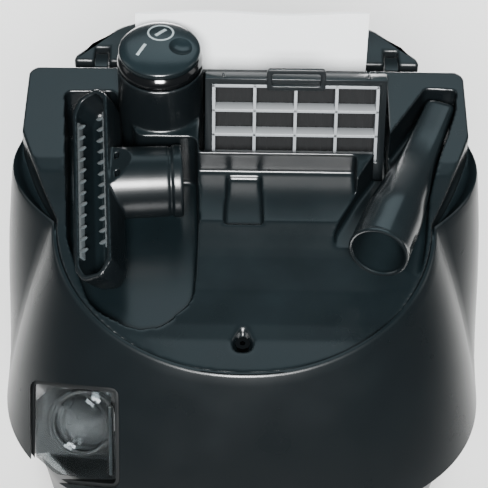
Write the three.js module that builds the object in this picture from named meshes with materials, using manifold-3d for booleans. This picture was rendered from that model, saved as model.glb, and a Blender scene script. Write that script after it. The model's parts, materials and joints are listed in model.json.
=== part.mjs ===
// Wet and dry shop vacuum with an accessory deck on top of its motor head.
// Millimetres, +Z up. The origin is on the floor, under the middle of the machine's outline.
// Inside `machine`, y is measured from the tank's own middle line: the front is -Y.

import * as THREE from 'three';
import { mergeVertices } from 'three/addons/utils/BufferGeometryUtils.js';
import Module from 'manifold-3d';

const wasm = await Module();
wasm.setup();

// ---------------------------------------------------------------- driving dimensions

const gap = 0.3;                    // clearance between pieces that touch
const moveGap = 0.6;                // clearance round pieces that turn or slide

// heights, from the floor up
const tankBottomZ = 77;
const tankHeight = 185;
const headSeam = 8;                 // tank rim to the hood's lower edge
const headHeight = 150;             // hood's lower edge to the deck's flat wings
const tankTopZ = tankBottomZ + tankHeight;
const hoodBottomZ = tankTopZ + headSeam;
const deckTopZ = hoodBottomZ + headHeight;

// filter cassette
const cassetteX = 34;
const cassetteWidth = 124;
const cassetteHeight = 84;
const cassetteThickness = 18;
const cassetteTopThickness = 10;
const cassetteLean = 15;            // degrees, backwards
const cassetteEdge = 4.5;           // frame round the grid
const cassetteSunk = 20;            // how much of it stands in the well
const gridColumns = 4;
const gridRows = 3;
const gridBar = 2.2;
const gridDepth = 11;
const cassetteLeft = cassetteX - cassetteWidth / 2;
const cassetteRight = cassetteX + cassetteWidth / 2;

// knob turret, beside the cassette
const turretRadius = 29.6;
const turretToCassette = 2.1;
const turretHeight = 37;
const knobX = cassetteLeft - turretToCassette - turretRadius;
const knobY = 113;
const collarHeight = 8.5;
const knobRadius = turretRadius - 1.2;
const knobHeight = 9.5;
const knobShaftRadius = 4;

// cleaning tools, both with the same socket
const toolSocketRadius = 20.5;
const toolBoreRadius = 17.6;
const brushLength = 158;
const brushMouthWidth = 29;
const brushHeadDepth = 28;
const brushNeckRadius = 25;
const brushNeckShift = 7;           // neck behind the middle of the mouth
const brushNeckReach = 55;          // mouth's middle to the end of the neck
const brushX = knobX - turretRadius - brushMouthWidth / 2 - 0.7;
const creviceLength = 157;
const creviceTipWidth = 21;
const creviceTipThickness = 13;
const creviceX = cassetteRight - 8;
const creviceY = -28;

// accessory deck
const brushPocketLeft = brushX - 23.5;
const nozzlePocketRight = creviceX + 60;
const deckSideWall = 7;             // nozzle pocket to the deck's side
const deckHalfWidth = nozzlePocketRight + deckSideWall;
const deckRearY = 150;
const deckDepth = 54;               // from the wings down to the skirt's lower edge
const deckWall = 3;
const noseHalfWidth = deckHalfWidth - 28; // the rounded front is an ellipse
const noseCentreY = 14;
const lipFrontY = -95;
const lipDrop = 42;                 // front lip below the wings
const wingFrontY = 84;              // where the side cut-outs for the fingers start
const fallStartY = 58;              // the wings start to fall towards the lip
const shelfDrop = 18;               // shelf in front of the filter well
const shelfRearY = 64;
const shelfFrontY = 17;
const basinDrop = 46;
const basinLeft = cassetteLeft - 8;
const basinRight = creviceX - 12;
const wellDepth = 41;
const wellFrontY = 66;
const wellSideGap = 4;              // each side of the filter cassette
const brushFloorDrop = 46;
const nozzleFloorDrop = toolSocketRadius + 5.5;
const lipScrewY = -69;

// hood (outer moulding of the motor head)
const hoodWall = 3.5;
const hoodHalfWidth = deckHalfWidth + 12;
const hoodBottomCentreY = -20;
const hoodBottomFrontY = lipFrontY - 45;
const hoodRearY = deckRearY + 13;
const shoulderDrop = 18;            // hood shoulder below the wings
const shoulderLedge = 5;            // width of the shoulder outside the deck
const hoodBulge = 3;                // how far the flanks swell between shoulder and rim

// tank and chassis
const tankWall = 4;
const tankTopHalfWidth = hoodHalfWidth - 16;
const tankBottomHalfWidth = tankTopHalfWidth - 23;
const tankTopFrontY = hoodBottomFrontY + 14;
const tankBottomFrontY = tankTopFrontY + 20;
const tankRearY = hoodRearY - 17;
const chassisThickness = 14;
const chassisMargin = 7;            // chassis edge outside the tank's foot

// running gear
const rearWheelRadius = 55;
const rearWheelWidth = 24;
const rearWheelInnerX = tankBottomHalfWidth + 22;
const rearWheelY = tankRearY;
const axleRadius = 5;
const castorRadius = 22;
const castorWidth = 17;
const castorX = tankBottomHalfWidth - 36;
const castorY = tankBottomFrontY + 22;
const castorTrail = 16;

// paper bag
const bagX = cassetteX - 30.5;
const bagWidth = 164;
const bagHeight = 68;
const bagThickness = 5;

// power-tool socket
const socketX = 54 - hoodHalfWidth;
const socketY = hoodBottomFrontY + 37; // where the recess's frame meets the hood's front
const socketZ = hoodBottomZ + 46;
const socketWidth = 63;
const socketHeight = 70;
const socketRecessDepth = 46;
const socketSlope = 45;             // degrees that the recess leans back
const socketWall = 2.5;
const lidThickness = 2.2;
const lidHingeOut = 2.4;            // hinge line in front of the recess frame's middle
const lidBarrelRadius = 2.6;
const hoodFrontSlope = 25;          // degrees from upright
const outletRadius = 19.5;

// carry handle
const handleHalfWidth = 125;
const handleReach = 46;             // hinge to the far side of the grip
const handleThickness = 13;
const handleGrip = 22;
const handleSlotHalf = 74;          // half the hand slot's width
const handleLugX = 100;
const handleLugWidth = 9;
const handleHingeZ = deckTopZ - shoulderDrop + 8;
const handleHingeY = hoodRearY + 3;
const handlePinRadius = 2.9;

// hose port, exhaust and latches
const portX = 48;
const portZ = tankTopZ - 66;
const portRadius = 27;
const portBore = 21;
const portInset = 19.1;             // port's flange outside the tank's foremost line
const grilleWidth = 96;
const grilleHeight = 44;
const grilleZ = hoodBottomZ + 52;
const glandX = -110;
const glandZ = hoodBottomZ + 30;
const latchY = 20;
const latchWidth = 44;
const latchPivotDrop = 34;          // pivot below the tank's rim
const latchOut = 6;                 // pivot outside the tank's rim
const plateMargin = 10;             // head plate inside the hood's rim

// motor head inside
const plateThickness = 6;
const gasketThickness = 4;
const motorY = 10;
const motorRadius = 66;
const motorHeight = 74;
const impellerRadius = 56;
const filterRadius = 52;
const filterHeight = 92;
const floatRadius = 15;
const floatSeatRadius = 12;

// segments of round pieces
const fine = 24;
const medium = 16;
const coarse = 8;

// ---------------------------------------------------------------- materials

function plastic(colour, roughness) {
  return new THREE.MeshStandardMaterial({ color: colour, roughness, metalness: 0 });
}

function metal(colour, roughness) {
  return new THREE.MeshStandardMaterial({ color: colour, roughness, metalness: 1 });
}

const housing = plastic(0x2a3439, 0.5);
const blackPlastic = plastic(0x16191b, 0.55);
const glossBlack = plastic(0x0e1011, 0.2);
const greyPlastic = plastic(0x83898b, 0.45);
const rubber = plastic(0x1d1d1e, 0.85);
const paper = plastic(0xe9edf0, 0.9);
const steel = metal(0xb9bdc0, 0.35);
const copper = metal(0xb87333, 0.4);
const clearPlastic = plastic(0x33383a, 0.1);

// ---------------------------------------------------------------- geometry helpers

// Merges shared corners, drops empty triangles and turns the faces outwards.
function closed(geometry) {
  const bare = geometry.index ? geometry.toNonIndexed() : geometry.clone();
  bare.deleteAttribute('normal');
  bare.deleteAttribute('uv');
  const merged = mergeVertices(bare, 1e-4);
  const position = merged.attributes.position;
  const corners = [];
  for (let i = 0; i < merged.index.count; i += 3) {
    const [a, b, c] = [0, 1, 2].map((k) => merged.index.getX(i + k));
    if (a !== b && b !== c && c !== a) corners.push([a, b, c]);
  }
  const at = (i) => new THREE.Vector3().fromBufferAttribute(position, i);
  let volume = 0;
  for (const [a, b, c] of corners) volume += at(a).dot(at(b).cross(at(c)));
  const result = new THREE.BufferGeometry();
  result.setAttribute('position', position);
  result.setIndex(corners.flatMap(([a, b, c]) => (volume > 0 ? [a, b, c] : [a, c, b])));
  return result;
}

function solid(geometry) {
  const body = closed(geometry);
  return new wasm.Manifold(new wasm.Mesh({
    numProp: 3,
    vertProperties: new Float32Array(body.attributes.position.array),
    triVerts: new Uint32Array(body.index.array),
  }));
}

function surface(manifold) {
  const mesh = manifold.getMesh();
  const result = new THREE.BufferGeometry();
  result.setAttribute('position', new THREE.BufferAttribute(new Float32Array(mesh.vertProperties), 3));
  result.setIndex(new THREE.BufferAttribute(new Uint32Array(mesh.triVerts), 1));
  return result;
}

function cut(base, ...tools) {
  let result = solid(base);
  for (const tool of tools) result = result.subtract(solid(tool));
  return surface(result);
}

function join(base, ...others) {
  let result = solid(base);
  for (const other of others) result = result.add(solid(other));
  return surface(result);
}

function common(a, b) {
  return surface(solid(a).intersect(solid(b)));
}

// Closed outline as points: each corner is [x, y, radius].
function rounded(corners) {
  const shape = new THREE.Shape();
  const count = corners.length;
  corners.forEach(([x, y, radius = 0], i) => {
    const [px, py] = corners[(i + count - 1) % count];
    const [nx, ny] = corners[(i + 1) % count];
    const before = new THREE.Vector2(px - x, py - y);
    const after = new THREE.Vector2(nx - x, ny - y);
    const r = Math.min(radius, before.length() * 0.49, after.length() * 0.49);
    before.setLength(r);
    after.setLength(r);
    const enter = i === 0 ? 'moveTo' : 'lineTo';
    shape[enter](x + before.x, y + before.y);
    if (r > 0) shape.quadraticCurveTo(x, y, x + after.x, y + after.y);
  });
  shape.closePath();
  return shape;
}

function rectangle(width, depth, radius, x = 0, y = 0) {
  const [w, d] = [width / 2, depth / 2];
  return rounded([
    [x - w, y - d, radius], [x + w, y - d, radius],
    [x + w, y + d, radius], [x - w, y + d, radius],
  ]);
}

function prism(shape, bottom, top, curveSegments = 3) {
  const body = new THREE.ExtrudeGeometry(shape, { depth: top - bottom, bevelEnabled: false, curveSegments });
  return closed(body.translate(0, 0, bottom));
}

// A profile of [y, z] points swept along X.
function sweepX(profile, left, right) {
  const shape = new THREE.Shape(profile.map(([y, z]) => new THREE.Vector2(y, z)));
  const body = new THREE.ExtrudeGeometry(shape, { depth: right - left, bevelEnabled: false });
  body.applyMatrix4(new THREE.Matrix4().set(0, 0, 1, left, 1, 0, 0, 0, 0, 1, 0, 0, 0, 0, 0, 1));
  return closed(body);
}

// A profile of [radius, height] points turned round Z.
function turned(profile, segments = medium) {
  const points = profile.map(([r, z]) => new THREE.Vector2(r, z));
  return closed(new THREE.LatheGeometry(points, segments).rotateX(Math.PI / 2));
}

function disc(radius, bottom, top, segments = medium) {
  return turned([[0, bottom], [radius, bottom], [radius, top], [0, top]], segments);
}

function ring(inner, outer, bottom, top, segments = medium) {
  return turned([[inner, bottom], [outer, bottom], [outer, top], [inner, top], [inner, bottom]], segments);
}

function box(x0, x1, y0, y1, z0, z1) {
  const body = new THREE.BoxGeometry(x1 - x0, y1 - y0, z1 - z0);
  return closed(body.translate((x0 + x1) / 2, (y0 + y1) / 2, (z0 + z1) / 2));
}

function degrees(angle) {
  return THREE.MathUtils.degToRad(angle);
}

// Rows of matching [x, y, z] points joined into one closed body.
function loft(rows) {
  const count = rows[0].length;
  const points = rows.flat();
  const faces = [];
  for (let r = 0; r + 1 < rows.length; r += 1) {
    for (let i = 0; i < count; i += 1) {
      const [a, b] = [r * count + i, r * count + ((i + 1) % count)];
      faces.push([a, b, b + count], [a, b + count, a + count]);
    }
  }
  for (const r of [0, rows.length - 1]) {
    const middle = [0, 1, 2].map((k) => rows[r].reduce((sum, p) => sum + p[k], 0) / count);
    const centre = points.push(middle) - 1;
    for (let i = 0; i < count; i += 1) {
      const [a, b] = [r * count + i, r * count + ((i + 1) % count)];
      faces.push(r === 0 ? [centre, b, a] : [centre, a, b]);
    }
  }
  const body = new THREE.BufferGeometry();
  body.setAttribute('position', new THREE.Float32BufferAttribute(faces.flat().flatMap((i) => points[i]), 3));
  return closed(body);
}

// ---------------------------------------------------------------- outlines

const sideSteps = 4;
const cornerSteps = 3;
const noseSteps = 11;
const noseSquareness = 0.87;        // 1 is an ellipse, less is squarer

// Right half of an outline, from the middle of the rear edge round to the middle of the front.
// It is straight at the rear and sides and has a half-elliptical nose.
function halfOutline({ halfWidth, rearY, cornerRadius, sideEndY, noseX, noseY, frontY, bow, square = 1 }) {
  const points = [];
  for (let i = 0; i < sideSteps; i += 1) {
    points.push([((halfWidth - cornerRadius) * i) / sideSteps, rearY]);
  }
  for (let i = 0; i <= cornerSteps; i += 1) {
    const turn = (Math.PI / 2) * (1 - i / cornerSteps);
    points.push([
      halfWidth - cornerRadius + cornerRadius * Math.cos(turn),
      rearY - cornerRadius + cornerRadius * Math.sin(turn),
    ]);
  }
  for (let i = 1; i <= sideSteps; i += 1) {
    const y = THREE.MathUtils.lerp(rearY - cornerRadius, sideEndY, i / sideSteps);
    points.push([halfWidth, y]);
  }
  for (let i = 1; i < sideSteps; i += 1) {
    const share = i / sideSteps;
    const x = THREE.MathUtils.lerp(halfWidth, noseX, share);
    const y = THREE.MathUtils.lerp(sideEndY, noseY, share);
    points.push([x + bow * 4 * share * (1 - share), y]);
  }
  for (let i = 0; i <= noseSteps; i += 1) {
    const turn = (Math.PI / 2) * (i / noseSteps);
    const across = i === noseSteps ? 0 : Math.cos(turn) ** square;
    points.push([noseX * across, noseY - (noseY - frontY) * Math.sin(turn) ** square]);
  }
  return points;
}

function wholeOutline(options) {
  const right = halfOutline(options);
  const left = right.slice(1, -1).reverse().map(([x, y]) => [-x, y]);
  return [...right, ...left].reverse();
}

// Deck outline moved outwards by `grow`.
function deckOutline(grow = 0) {
  return wholeOutline({
    halfWidth: deckHalfWidth + grow,
    rearY: deckRearY + grow,
    cornerRadius: 8 + grow,
    sideEndY: wingFrontY,
    noseX: noseHalfWidth + grow,
    noseY: noseCentreY,
    frontY: lipFrontY - grow,
    bow: 2,
  });
}

function bodyOutline(halfWidth, frontY, rearY, cornerRadius = 34) {
  return wholeOutline({
    halfWidth,
    rearY,
    cornerRadius,
    sideEndY: 50,
    noseX: halfWidth,
    noseY: hoodBottomCentreY,
    frontY,
    bow: 0,
    square: noseSquareness,
  });
}

function shapeOf(points) {
  return new THREE.Shape(points.map(([x, y]) => new THREE.Vector2(x, y)));
}

// ---------------------------------------------------------------- hood

const shoulderZ = deckTopZ - shoulderDrop;
const lipZ = deckTopZ - lipDrop;

// Height of the hood's upper edge: level at the shoulders, falling to the lip.
function hoodTopAt(y) {
  const share = THREE.MathUtils.clamp((noseCentreY - y) / (noseCentreY - lipFrontY), 0, 1);
  return THREE.MathUtils.lerp(shoulderZ, lipZ - 1, share);
}

const hoodTopOutline = wholeOutline({
  halfWidth: deckHalfWidth + shoulderLedge,
  rearY: hoodRearY,
  cornerRadius: 20,
  sideEndY: wingFrontY,
  noseX: noseHalfWidth + 3,
  noseY: noseCentreY,
  frontY: lipFrontY - 3,
  bow: 12,
});
const hoodBottomOutline = bodyOutline(hoodHalfWidth, hoodBottomFrontY, hoodRearY);

// Hood surface moved inwards by `inset`, from `bottom` up to the top edge lowered by `drop`.
function hoodBody(inset, bottom, drop) {
  const rows = [];
  const steps = 5;
  for (let k = 0; k <= steps; k += 1) {
    const share = k / steps;
    rows.push(hoodBottomOutline.map(([bx, by], i) => {
      const [tx, ty] = hoodTopOutline[i];
      const x = THREE.MathUtils.lerp(bx, tx, share);
      const y = THREE.MathUtils.lerp(by, ty, share);
      const z = THREE.MathUtils.lerp(bottom, hoodTopAt(ty) - drop, share);
      const reach = Math.hypot(x, y) || 1;
      const swell = hoodBulge * Math.sin(Math.PI * share) * (y < deckRearY ? 1 : 0);
      const scale = (reach + swell - inset) / reach;
      return [x * scale, y * scale, z];
    }));
  }
  return loft(rows);
}

// Box in the leaning frame of the socket recess, `grow` larger all round.
function socketBlock(grow, front, back) {
  const [w, h] = [socketWidth / 2 + grow, socketHeight / 2 + grow];
  return leaning(prism(rectangle(2 * w, 2 * h, 6 + grow), -back, front, 3));
}

// Puts a shape drawn flat, with +Z outwards and +Y up the slope, into the recess.
function leaning(geometry) {
  geometry.rotateX(Math.PI / 2 - degrees(socketSlope));
  return geometry.translate(socketX, socketY, socketZ);
}

function handleLug(side) {
  const x0 = side * handleLugX;
  const x1 = side * (handleLugX + handleLugWidth);
  return sweepX(
    [[hoodRearY - 8, shoulderZ - 14], [handleHingeY + 6, handleHingeZ - 7],
      [handleHingeY + 6, handleHingeZ + 3], [handleHingeY + 3, handleHingeZ + 6],
      [hoodRearY - 8, handleHingeZ + 6]],
    Math.min(x0, x1), Math.max(x0, x1),
  );
}

function axisX(radius, x0, x1, y, z, segments = coarse) {
  const body = disc(radius, Math.min(x0, x1), Math.max(x0, x1), segments);
  return body.rotateY(Math.PI / 2).translate(0, y, z);
}

function hood() {
  const outer = hoodBody(0, hoodBottomZ, 0);
  const inner = hoodBody(hoodWall, hoodBottomZ - 1, hoodWall);
  const opening = prism(shapeOf(deckOutline(gap)), lipZ - 60, deckTopZ + 1);
  const grille = box(
    -grilleWidth / 2, grilleWidth / 2, hoodRearY - 12, hoodRearY + 12,
    grilleZ - grilleHeight / 2, grilleZ + grilleHeight / 2,
  );
  const gland = disc(9, -16, 16, coarse).rotateX(Math.PI / 2).translate(glandX, hoodRearY, glandZ);
  const windows = [-1, 1].map((side) => box(
    side * hoodHalfWidth - 14, side * hoodHalfWidth + 14,
    latchY - latchWidth / 2 - 2, latchY + latchWidth / 2 + 2, hoodBottomZ - 2, hoodBottomZ + 16,
  ));
  const recess = socketBlock(gap, 60, socketRecessDepth + gap);
  const shell = cut(outer, inner, opening, grille, gland, recess, ...windows);
  const lugged = join(shell, handleLug(-1), handleLug(1));
  return cut(
    lugged,
    axisX(handlePinRadius + gap, -handleHalfWidth, handleHalfWidth, handleHingeY, handleHingeZ),
    prism(shapeOf(deckOutline(gap)), lipZ - 60, deckTopZ + 40),
  );
}

// ---------------------------------------------------------------- deck

function brushPocket(grow) {
  const left = brushPocketLeft - grow;
  const right = basinLeft + 3 + grow;
  return rounded([
    [left, 124 + grow, 4], [brushX + 11.5 + grow, 125 + grow, 4], [brushX + 29.5 + grow, 80 + grow, 8],
    [right, 80 + grow, 6], [right, -26 - grow, 26], [brushX + 48.5, -58 - grow, 22],
    [brushX + 6.5 - grow, -52 - grow, 18], [left + 9, 0, 20],
  ]);
}

function nozzlePocket(grow) {
  const right = nozzlePocketRight + grow;
  const side = creviceX + toolSocketRadius + grow;
  const inner = creviceX - toolSocketRadius - grow;
  return rounded([
    [right - 21 - 2 * grow, 132 + grow, 3], [right + 1, 131 + grow, 3], [right - 1, 90, 8],
    [side + 27.5, 66, 10], [side + 23.5, 44, 12], [side + 15.5, 0, 20],
    [side + 7.5, creviceY - 6 - grow, 24], [creviceX - 2, creviceY - 36 - grow, 24],
    [inner - 9.5, creviceY - 12 - grow, 22], [inner - 7.5, 14, 12], [inner + 9.5, 44, 10],
  ]);
}

function wellShape(grow) {
  const width = cassetteWidth + 2 * wellSideGap + 2 * grow;
  const rear = deckRearY - 4 + grow;
  const front = wellFrontY - grow;
  return rectangle(width, rear - front, 3, cassetteX, (rear + front) / 2);
}

// Everything that is hollowed out of the deck from above, `grow` larger on all sides.
function deckHollows(grow) {
  const top = deckTopZ + 5;
  const wide = 400;
  const fall = sweepX([
    [fallStartY + grow, top], [fallStartY + grow * 0.5, deckTopZ - grow],
    [fallStartY - 24, deckTopZ - 7 - grow], [noseCentreY - 4, shoulderZ + 2 - grow],
    [-40, lipZ + 12 - grow], [lipFrontY - 40, lipZ - 10 - grow], [lipFrontY - 40, top],
  ], -wide / 2, wide / 2);
  const basin = sweepX([
    [shelfRearY + grow, top], [shelfRearY + grow, deckTopZ - shelfDrop - grow],
    [shelfFrontY, deckTopZ - shelfDrop - grow], [shelfFrontY - 16, deckTopZ - shelfDrop - 13 - grow],
    [-30, deckTopZ - 38 - grow], [-62, deckTopZ - basinDrop + 3 - grow],
    [lipFrontY - 6, deckTopZ - basinDrop + 2 - grow], [lipFrontY - 6, top],
  ], basinLeft - grow, basinRight + grow);
  return [
    fall,
    basin,
    prism(brushPocket(grow), deckTopZ - brushFloorDrop - grow, top),
    prism(nozzlePocket(grow), deckTopZ - nozzleFloorDrop - grow, top),
    prism(wellShape(grow), deckTopZ - wellDepth - grow, top),
  ];
}

function deck() {
  const bottom = deckTopZ - deckDepth;
  const block = prism(shapeOf(deckOutline(0)), bottom, deckTopZ);
  const turret = disc(turretRadius, bottom, deckTopZ + turretHeight, fine).translate(knobX, knobY, 0);
  const notch = box(-14, 12, shelfFrontY - 6, shelfRearY - 4, deckTopZ - shelfDrop - 1.6, deckTopZ);
  const cavity = cut(
    prism(shapeOf(deckOutline(-deckWall)), bottom - 1, deckTopZ - deckWall),
    ...deckHollows(deckWall),
    disc(turretRadius, bottom - 2, deckTopZ, fine).translate(knobX, knobY, 0),
    disc(9, bottom - 2, deckTopZ, coarse).translate(0, lipScrewY, 0),
  );
  const turretRoom = disc(turretRadius - deckWall, bottom - 1, deckTopZ + turretHeight - 4, fine);
  const shaftHole = disc(knobShaftRadius + moveGap, bottom, deckTopZ + 60, coarse);
  const screwHole = disc(2.6, bottom - 5, deckTopZ, coarse);
  const screwHead = disc(6, deckTopZ - deckDepth + 6, deckTopZ, coarse);
  const hollowed = cut(block, ...deckHollows(0));
  return cut(
    join(hollowed, turret),
    cavity,
    notch,
    turretRoom.translate(knobX, knobY, 0),
    shaftHole.translate(knobX, knobY, 0),
    screwHole.translate(0, lipScrewY, 0),
    screwHead.translate(0, lipScrewY, 0),
  );
}

function deckScrew() {
  const head = deckTopZ - deckDepth + 6 + gap;
  const driver = disc(2, head + 1, head + 9, 6);
  return cut(
    join(disc(5.2, head, head + 3, coarse), disc(2.2, head - 14, head + 1, coarse)),
    driver,
  ).translate(0, lipScrewY, 0);
}

// ---------------------------------------------------------------- knob

const collarBottom = deckTopZ + turretHeight + gap;

function knobCollar() {
  return ring(knobRadius * 0.55, turretRadius, 0, collarHeight, fine);
}

// Domed cap with a finger dimple, and its shaft down to the switch.
function knobCap() {
  const profile = [[0, 0], [knobRadius - 1, 0], [knobRadius, 1.5], [knobRadius, knobHeight * 0.45]];
  const domeSteps = 6;
  for (let i = 1; i <= domeSteps; i += 1) {
    const turn = (Math.PI / 2) * (i / domeSteps);
    profile.push([knobRadius * Math.cos(turn), knobHeight * (0.45 + 0.55 * Math.sin(turn))]);
  }
  const dimple = new THREE.SphereGeometry(16, 18, 12).translate(knobRadius * 0.55, -1.5, knobHeight + 12.5);
  const shaft = disc(knobShaftRadius, -collarHeight - 26, 1, coarse);
  return cut(join(turned(profile, fine), shaft), dimple);
}

function switchBody() {
  const height = 34;
  const top = deckTopZ + turretHeight - 4 - gap;
  const shell = prism(rectangle(34, 28, 3), top - height, top);
  const bore = disc(knobShaftRadius + moveGap, top - height + 4, top + 1, coarse);
  return cut(shell, bore);
}

// ---------------------------------------------------------------- cassette
// Built standing up, with its front face at y = 0 and its lower edge at z = 0.

const gridWidth = cassetteWidth - 2 * cassetteEdge;
const gridHeight = cassetteHeight - cassetteEdge - cassetteSunk;

function cassetteFrame() {
  const outer = box(-cassetteWidth / 2, cassetteWidth / 2, 0, cassetteThickness, 0, cassetteHeight);
  const window = box(
    -gridWidth / 2, gridWidth / 2, -1, cassetteThickness + 1, cassetteSunk, cassetteHeight - cassetteEdge,
  );
  const ribs = [];
  for (const share of [-0.4, -0.15, 0.15, 0.4]) {
    const x = cassetteWidth * share;
    ribs.push(box(x - 1, x + 1, 2, 6, cassetteHeight - 0.5, cassetteHeight + 2));
  }
  const step = box(
    -cassetteWidth, cassetteWidth, cassetteTopThickness, 90, cassetteHeight - cassetteEdge + 1, 200,
  );
  return join(cut(outer, window, step), ...ribs);
}

function cassetteGrid() {
  const [w, h] = [gridWidth - 2 * gap, gridHeight - 2 * gap];
  const bottom = cassetteSunk + gap;
  const cellWidth = (w - gridBar * (gridColumns + 1)) / gridColumns;
  const cellHeight = (h - gridBar * (gridRows + 1)) / gridRows;
  const cells = [];
  for (let column = 0; column < gridColumns; column += 1) {
    for (let row = 0; row < gridRows; row += 1) {
      const x = -w / 2 + gridBar + column * (cellWidth + gridBar);
      const z = bottom + gridBar + row * (cellHeight + gridBar);
      cells.push(box(x, x + cellWidth, -2, gridDepth + 2, z, z + cellHeight));
    }
  }
  return cut(box(-w / 2, w / 2, 0.4, gridDepth, bottom, bottom + h), ...cells);
}

// Pleated paper, as a zigzag slab behind the grid.
function cassetteMedia() {
  const pleats = 12;
  const pleatWall = 2;
  const width = gridWidth - 4 * gap;
  const front = gridDepth + gap;
  const back = cassetteThickness - 1;
  const corners = [];
  for (let i = 0; i <= pleats * 2; i += 1) {
    const x = -width / 2 + (width * i) / (pleats * 2);
    corners.push([x, i % 2 ? back - pleatWall : front]);
  }
  for (let i = pleats * 2; i >= 0; i -= 1) {
    const x = -width / 2 + (width * i) / (pleats * 2);
    corners.push([x, i % 2 ? back : front + pleatWall]);
  }
  return prism(shapeOf(corners), cassetteSunk + 2 * gap, cassetteHeight - cassetteEdge - 2 * gap);
}

function cassetteLoop() {
  const [width, height, bar] = [40, 16, 3.4];
  const outer = prism(rectangle(width, height, 3), -1.6, 1.6, 3);
  const hole = prism(rectangle(width - 2 * bar, height - 2 * bar, 2), -3, 3, 3);
  const loop = cut(outer, hole);
  return loop.rotateX(Math.PI / 2).translate(0, -1.6 - gap, cassetteHeight + 1);
}

// ---------------------------------------------------------------- tools

// Upholstery nozzle: its mouth lies in the plane z = 0 and faces +Z, long along Y. The neck leaves
// the back at a slant, so that it is level when the head is rolled by `brushRoll`.
const brushRoll = 33;
const brushLipWidth = 4.2;

// Pointed outline of the mouth, `inset` smaller all round.
function brushOutline(inset, z) {
  const [w, l] = [brushMouthWidth / 2 - inset, brushLength / 2 - inset];
  const shoulder = l - 17;
  return [[w, -shoulder], [w, shoulder], [w * 0.4, l], [-w, shoulder - 4], [-w, -shoulder + 4], [w * 0.4, -l]]
    .map(([x, y]) => [x, y, z]);
}

function brushHead(inset, top) {
  return loft([
    brushOutline(inset + 6, -brushHeadDepth + inset),
    brushOutline(inset + 1, -brushHeadDepth * 0.45),
    brushOutline(inset, top),
  ]);
}

function alongNeck(geometry) {
  return geometry.rotateY(Math.PI / 2 + degrees(brushRoll)).translate(0, brushNeckShift, -brushHeadDepth / 2);
}

function brushBody() {
  const socket = alongNeck(disc(brushNeckRadius, 12, brushNeckReach, medium));
  const bore = alongNeck(disc(brushNeckRadius - 3, 16, brushNeckReach + 1, medium));
  const half = solid(brushHead(0, 0)).add(solid(socket));
  const sky = box(-90, 90, -100, 100, 0, 90);
  return cut(surface(half), brushHead(brushLipWidth, 1), bore, sky);
}

// Comb that picks up threads, standing along the inside of one lip.
function lintComb() {
  const teeth = 12;
  const length = brushLength - 44;
  const pitch = length / teeth;
  const bar = box(-1, 1, -length / 2, length / 2, -6, -1);
  const notches = [];
  for (let i = 0; i < teeth; i += 1) {
    const y = -length / 2 + pitch * (i + 0.5);
    notches.push(box(-3, 3, y - 2, y + 2, -3, 0));
  }
  return cut(bar, ...notches);
}

// Crevice nozzle: round socket at y = 0 facing -Y, flat slanting tip towards +Y.
function creviceRow(y, halfX, halfZ, power) {
  const row = [];
  for (let i = 0; i < medium; i += 1) {
    const turn = (2 * Math.PI * i) / medium;
    const [c, s] = [Math.cos(turn), Math.sin(turn)];
    row.push([
      halfX * Math.sign(c) * Math.abs(c) ** power,
      y,
      halfZ * Math.sign(s) * Math.abs(s) ** power,
    ]);
  }
  return row;
}

function creviceNozzle() {
  const [w, t, r] = [creviceTipWidth / 2, creviceTipThickness / 2, toolSocketRadius];
  const wall = 2;
  const taper = [[0, r, r, 1], [40, r - 0.5, r - 0.5, 1], [62, r - 3, r - 4, 0.95],
    [95, w + 3, t + 3, 0.75], [creviceLength, w, t, 0.55]];
  const outer = loft(taper.map(([y, a, b, p]) => creviceRow(y, a, b, p)));
  const hollow = taper.map(([y, a, b, p]) => creviceRow(y, a - wall, b - wall, p));
  hollow[0] = creviceRow(-1, toolBoreRadius, toolBoreRadius, 1);
  hollow[hollow.length - 1] = creviceRow(creviceLength + 1, w - wall, t - wall, 0.55);
  return cut(outer, loft(hollow));
}

// ---------------------------------------------------------------- socket

function socketTray() {
  const inside = socketBlock(-socketWall, 61, socketRecessDepth - socketWall);
  const tray = common(cut(socketBlock(0, 60, socketRecessDepth), inside), hoodBody(1, hoodBottomZ - 1, 0));
  return cut(tray, box(-hoodHalfWidth, hoodHalfWidth, -200, 200, 0, plateTop + gap));
}

const outletBase = -socketRecessDepth + socketWall + gap;
const outletX = 5;
const outletY = 5.5;

function outlet() {
  const height = 8;
  const profile = [[0, 0], [outletRadius + 3, 0], [outletRadius + 3, height], [outletRadius, height],
    [outletRadius, 3], [0, 3]];
  const holes = [-9.5, 9.5].map((x) => disc(2.5, 1, 5, coarse).translate(x, 0, 0));
  return cut(turned(profile, medium), ...holes).translate(outletX, outletY, outletBase);
}

function earthClip(side) {
  const clip = cut(box(-3, 3, 0, 2.4, 0, 6), box(-1, 1, -1, 4, 2, 7));
  clip.translate(0, outletRadius - 3, outletBase + 3 + gap);
  clip.rotateZ(side > 0 ? degrees(-28) : degrees(152));
  return clip.translate(outletX, outletY, 0);
}

// Clear lid that follows the hood's surface, hinged along the recess's inner side.
const lidHingeX = socketX + socketWidth / 2 - socketWall - moveGap - lidBarrelRadius;
const lidHalf = 25;

function alongHinge(geometry) {
  geometry.rotateX(-degrees(hoodFrontSlope));
  return geometry.translate(lidHingeX, socketY - lidHingeOut, socketZ);
}

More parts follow.
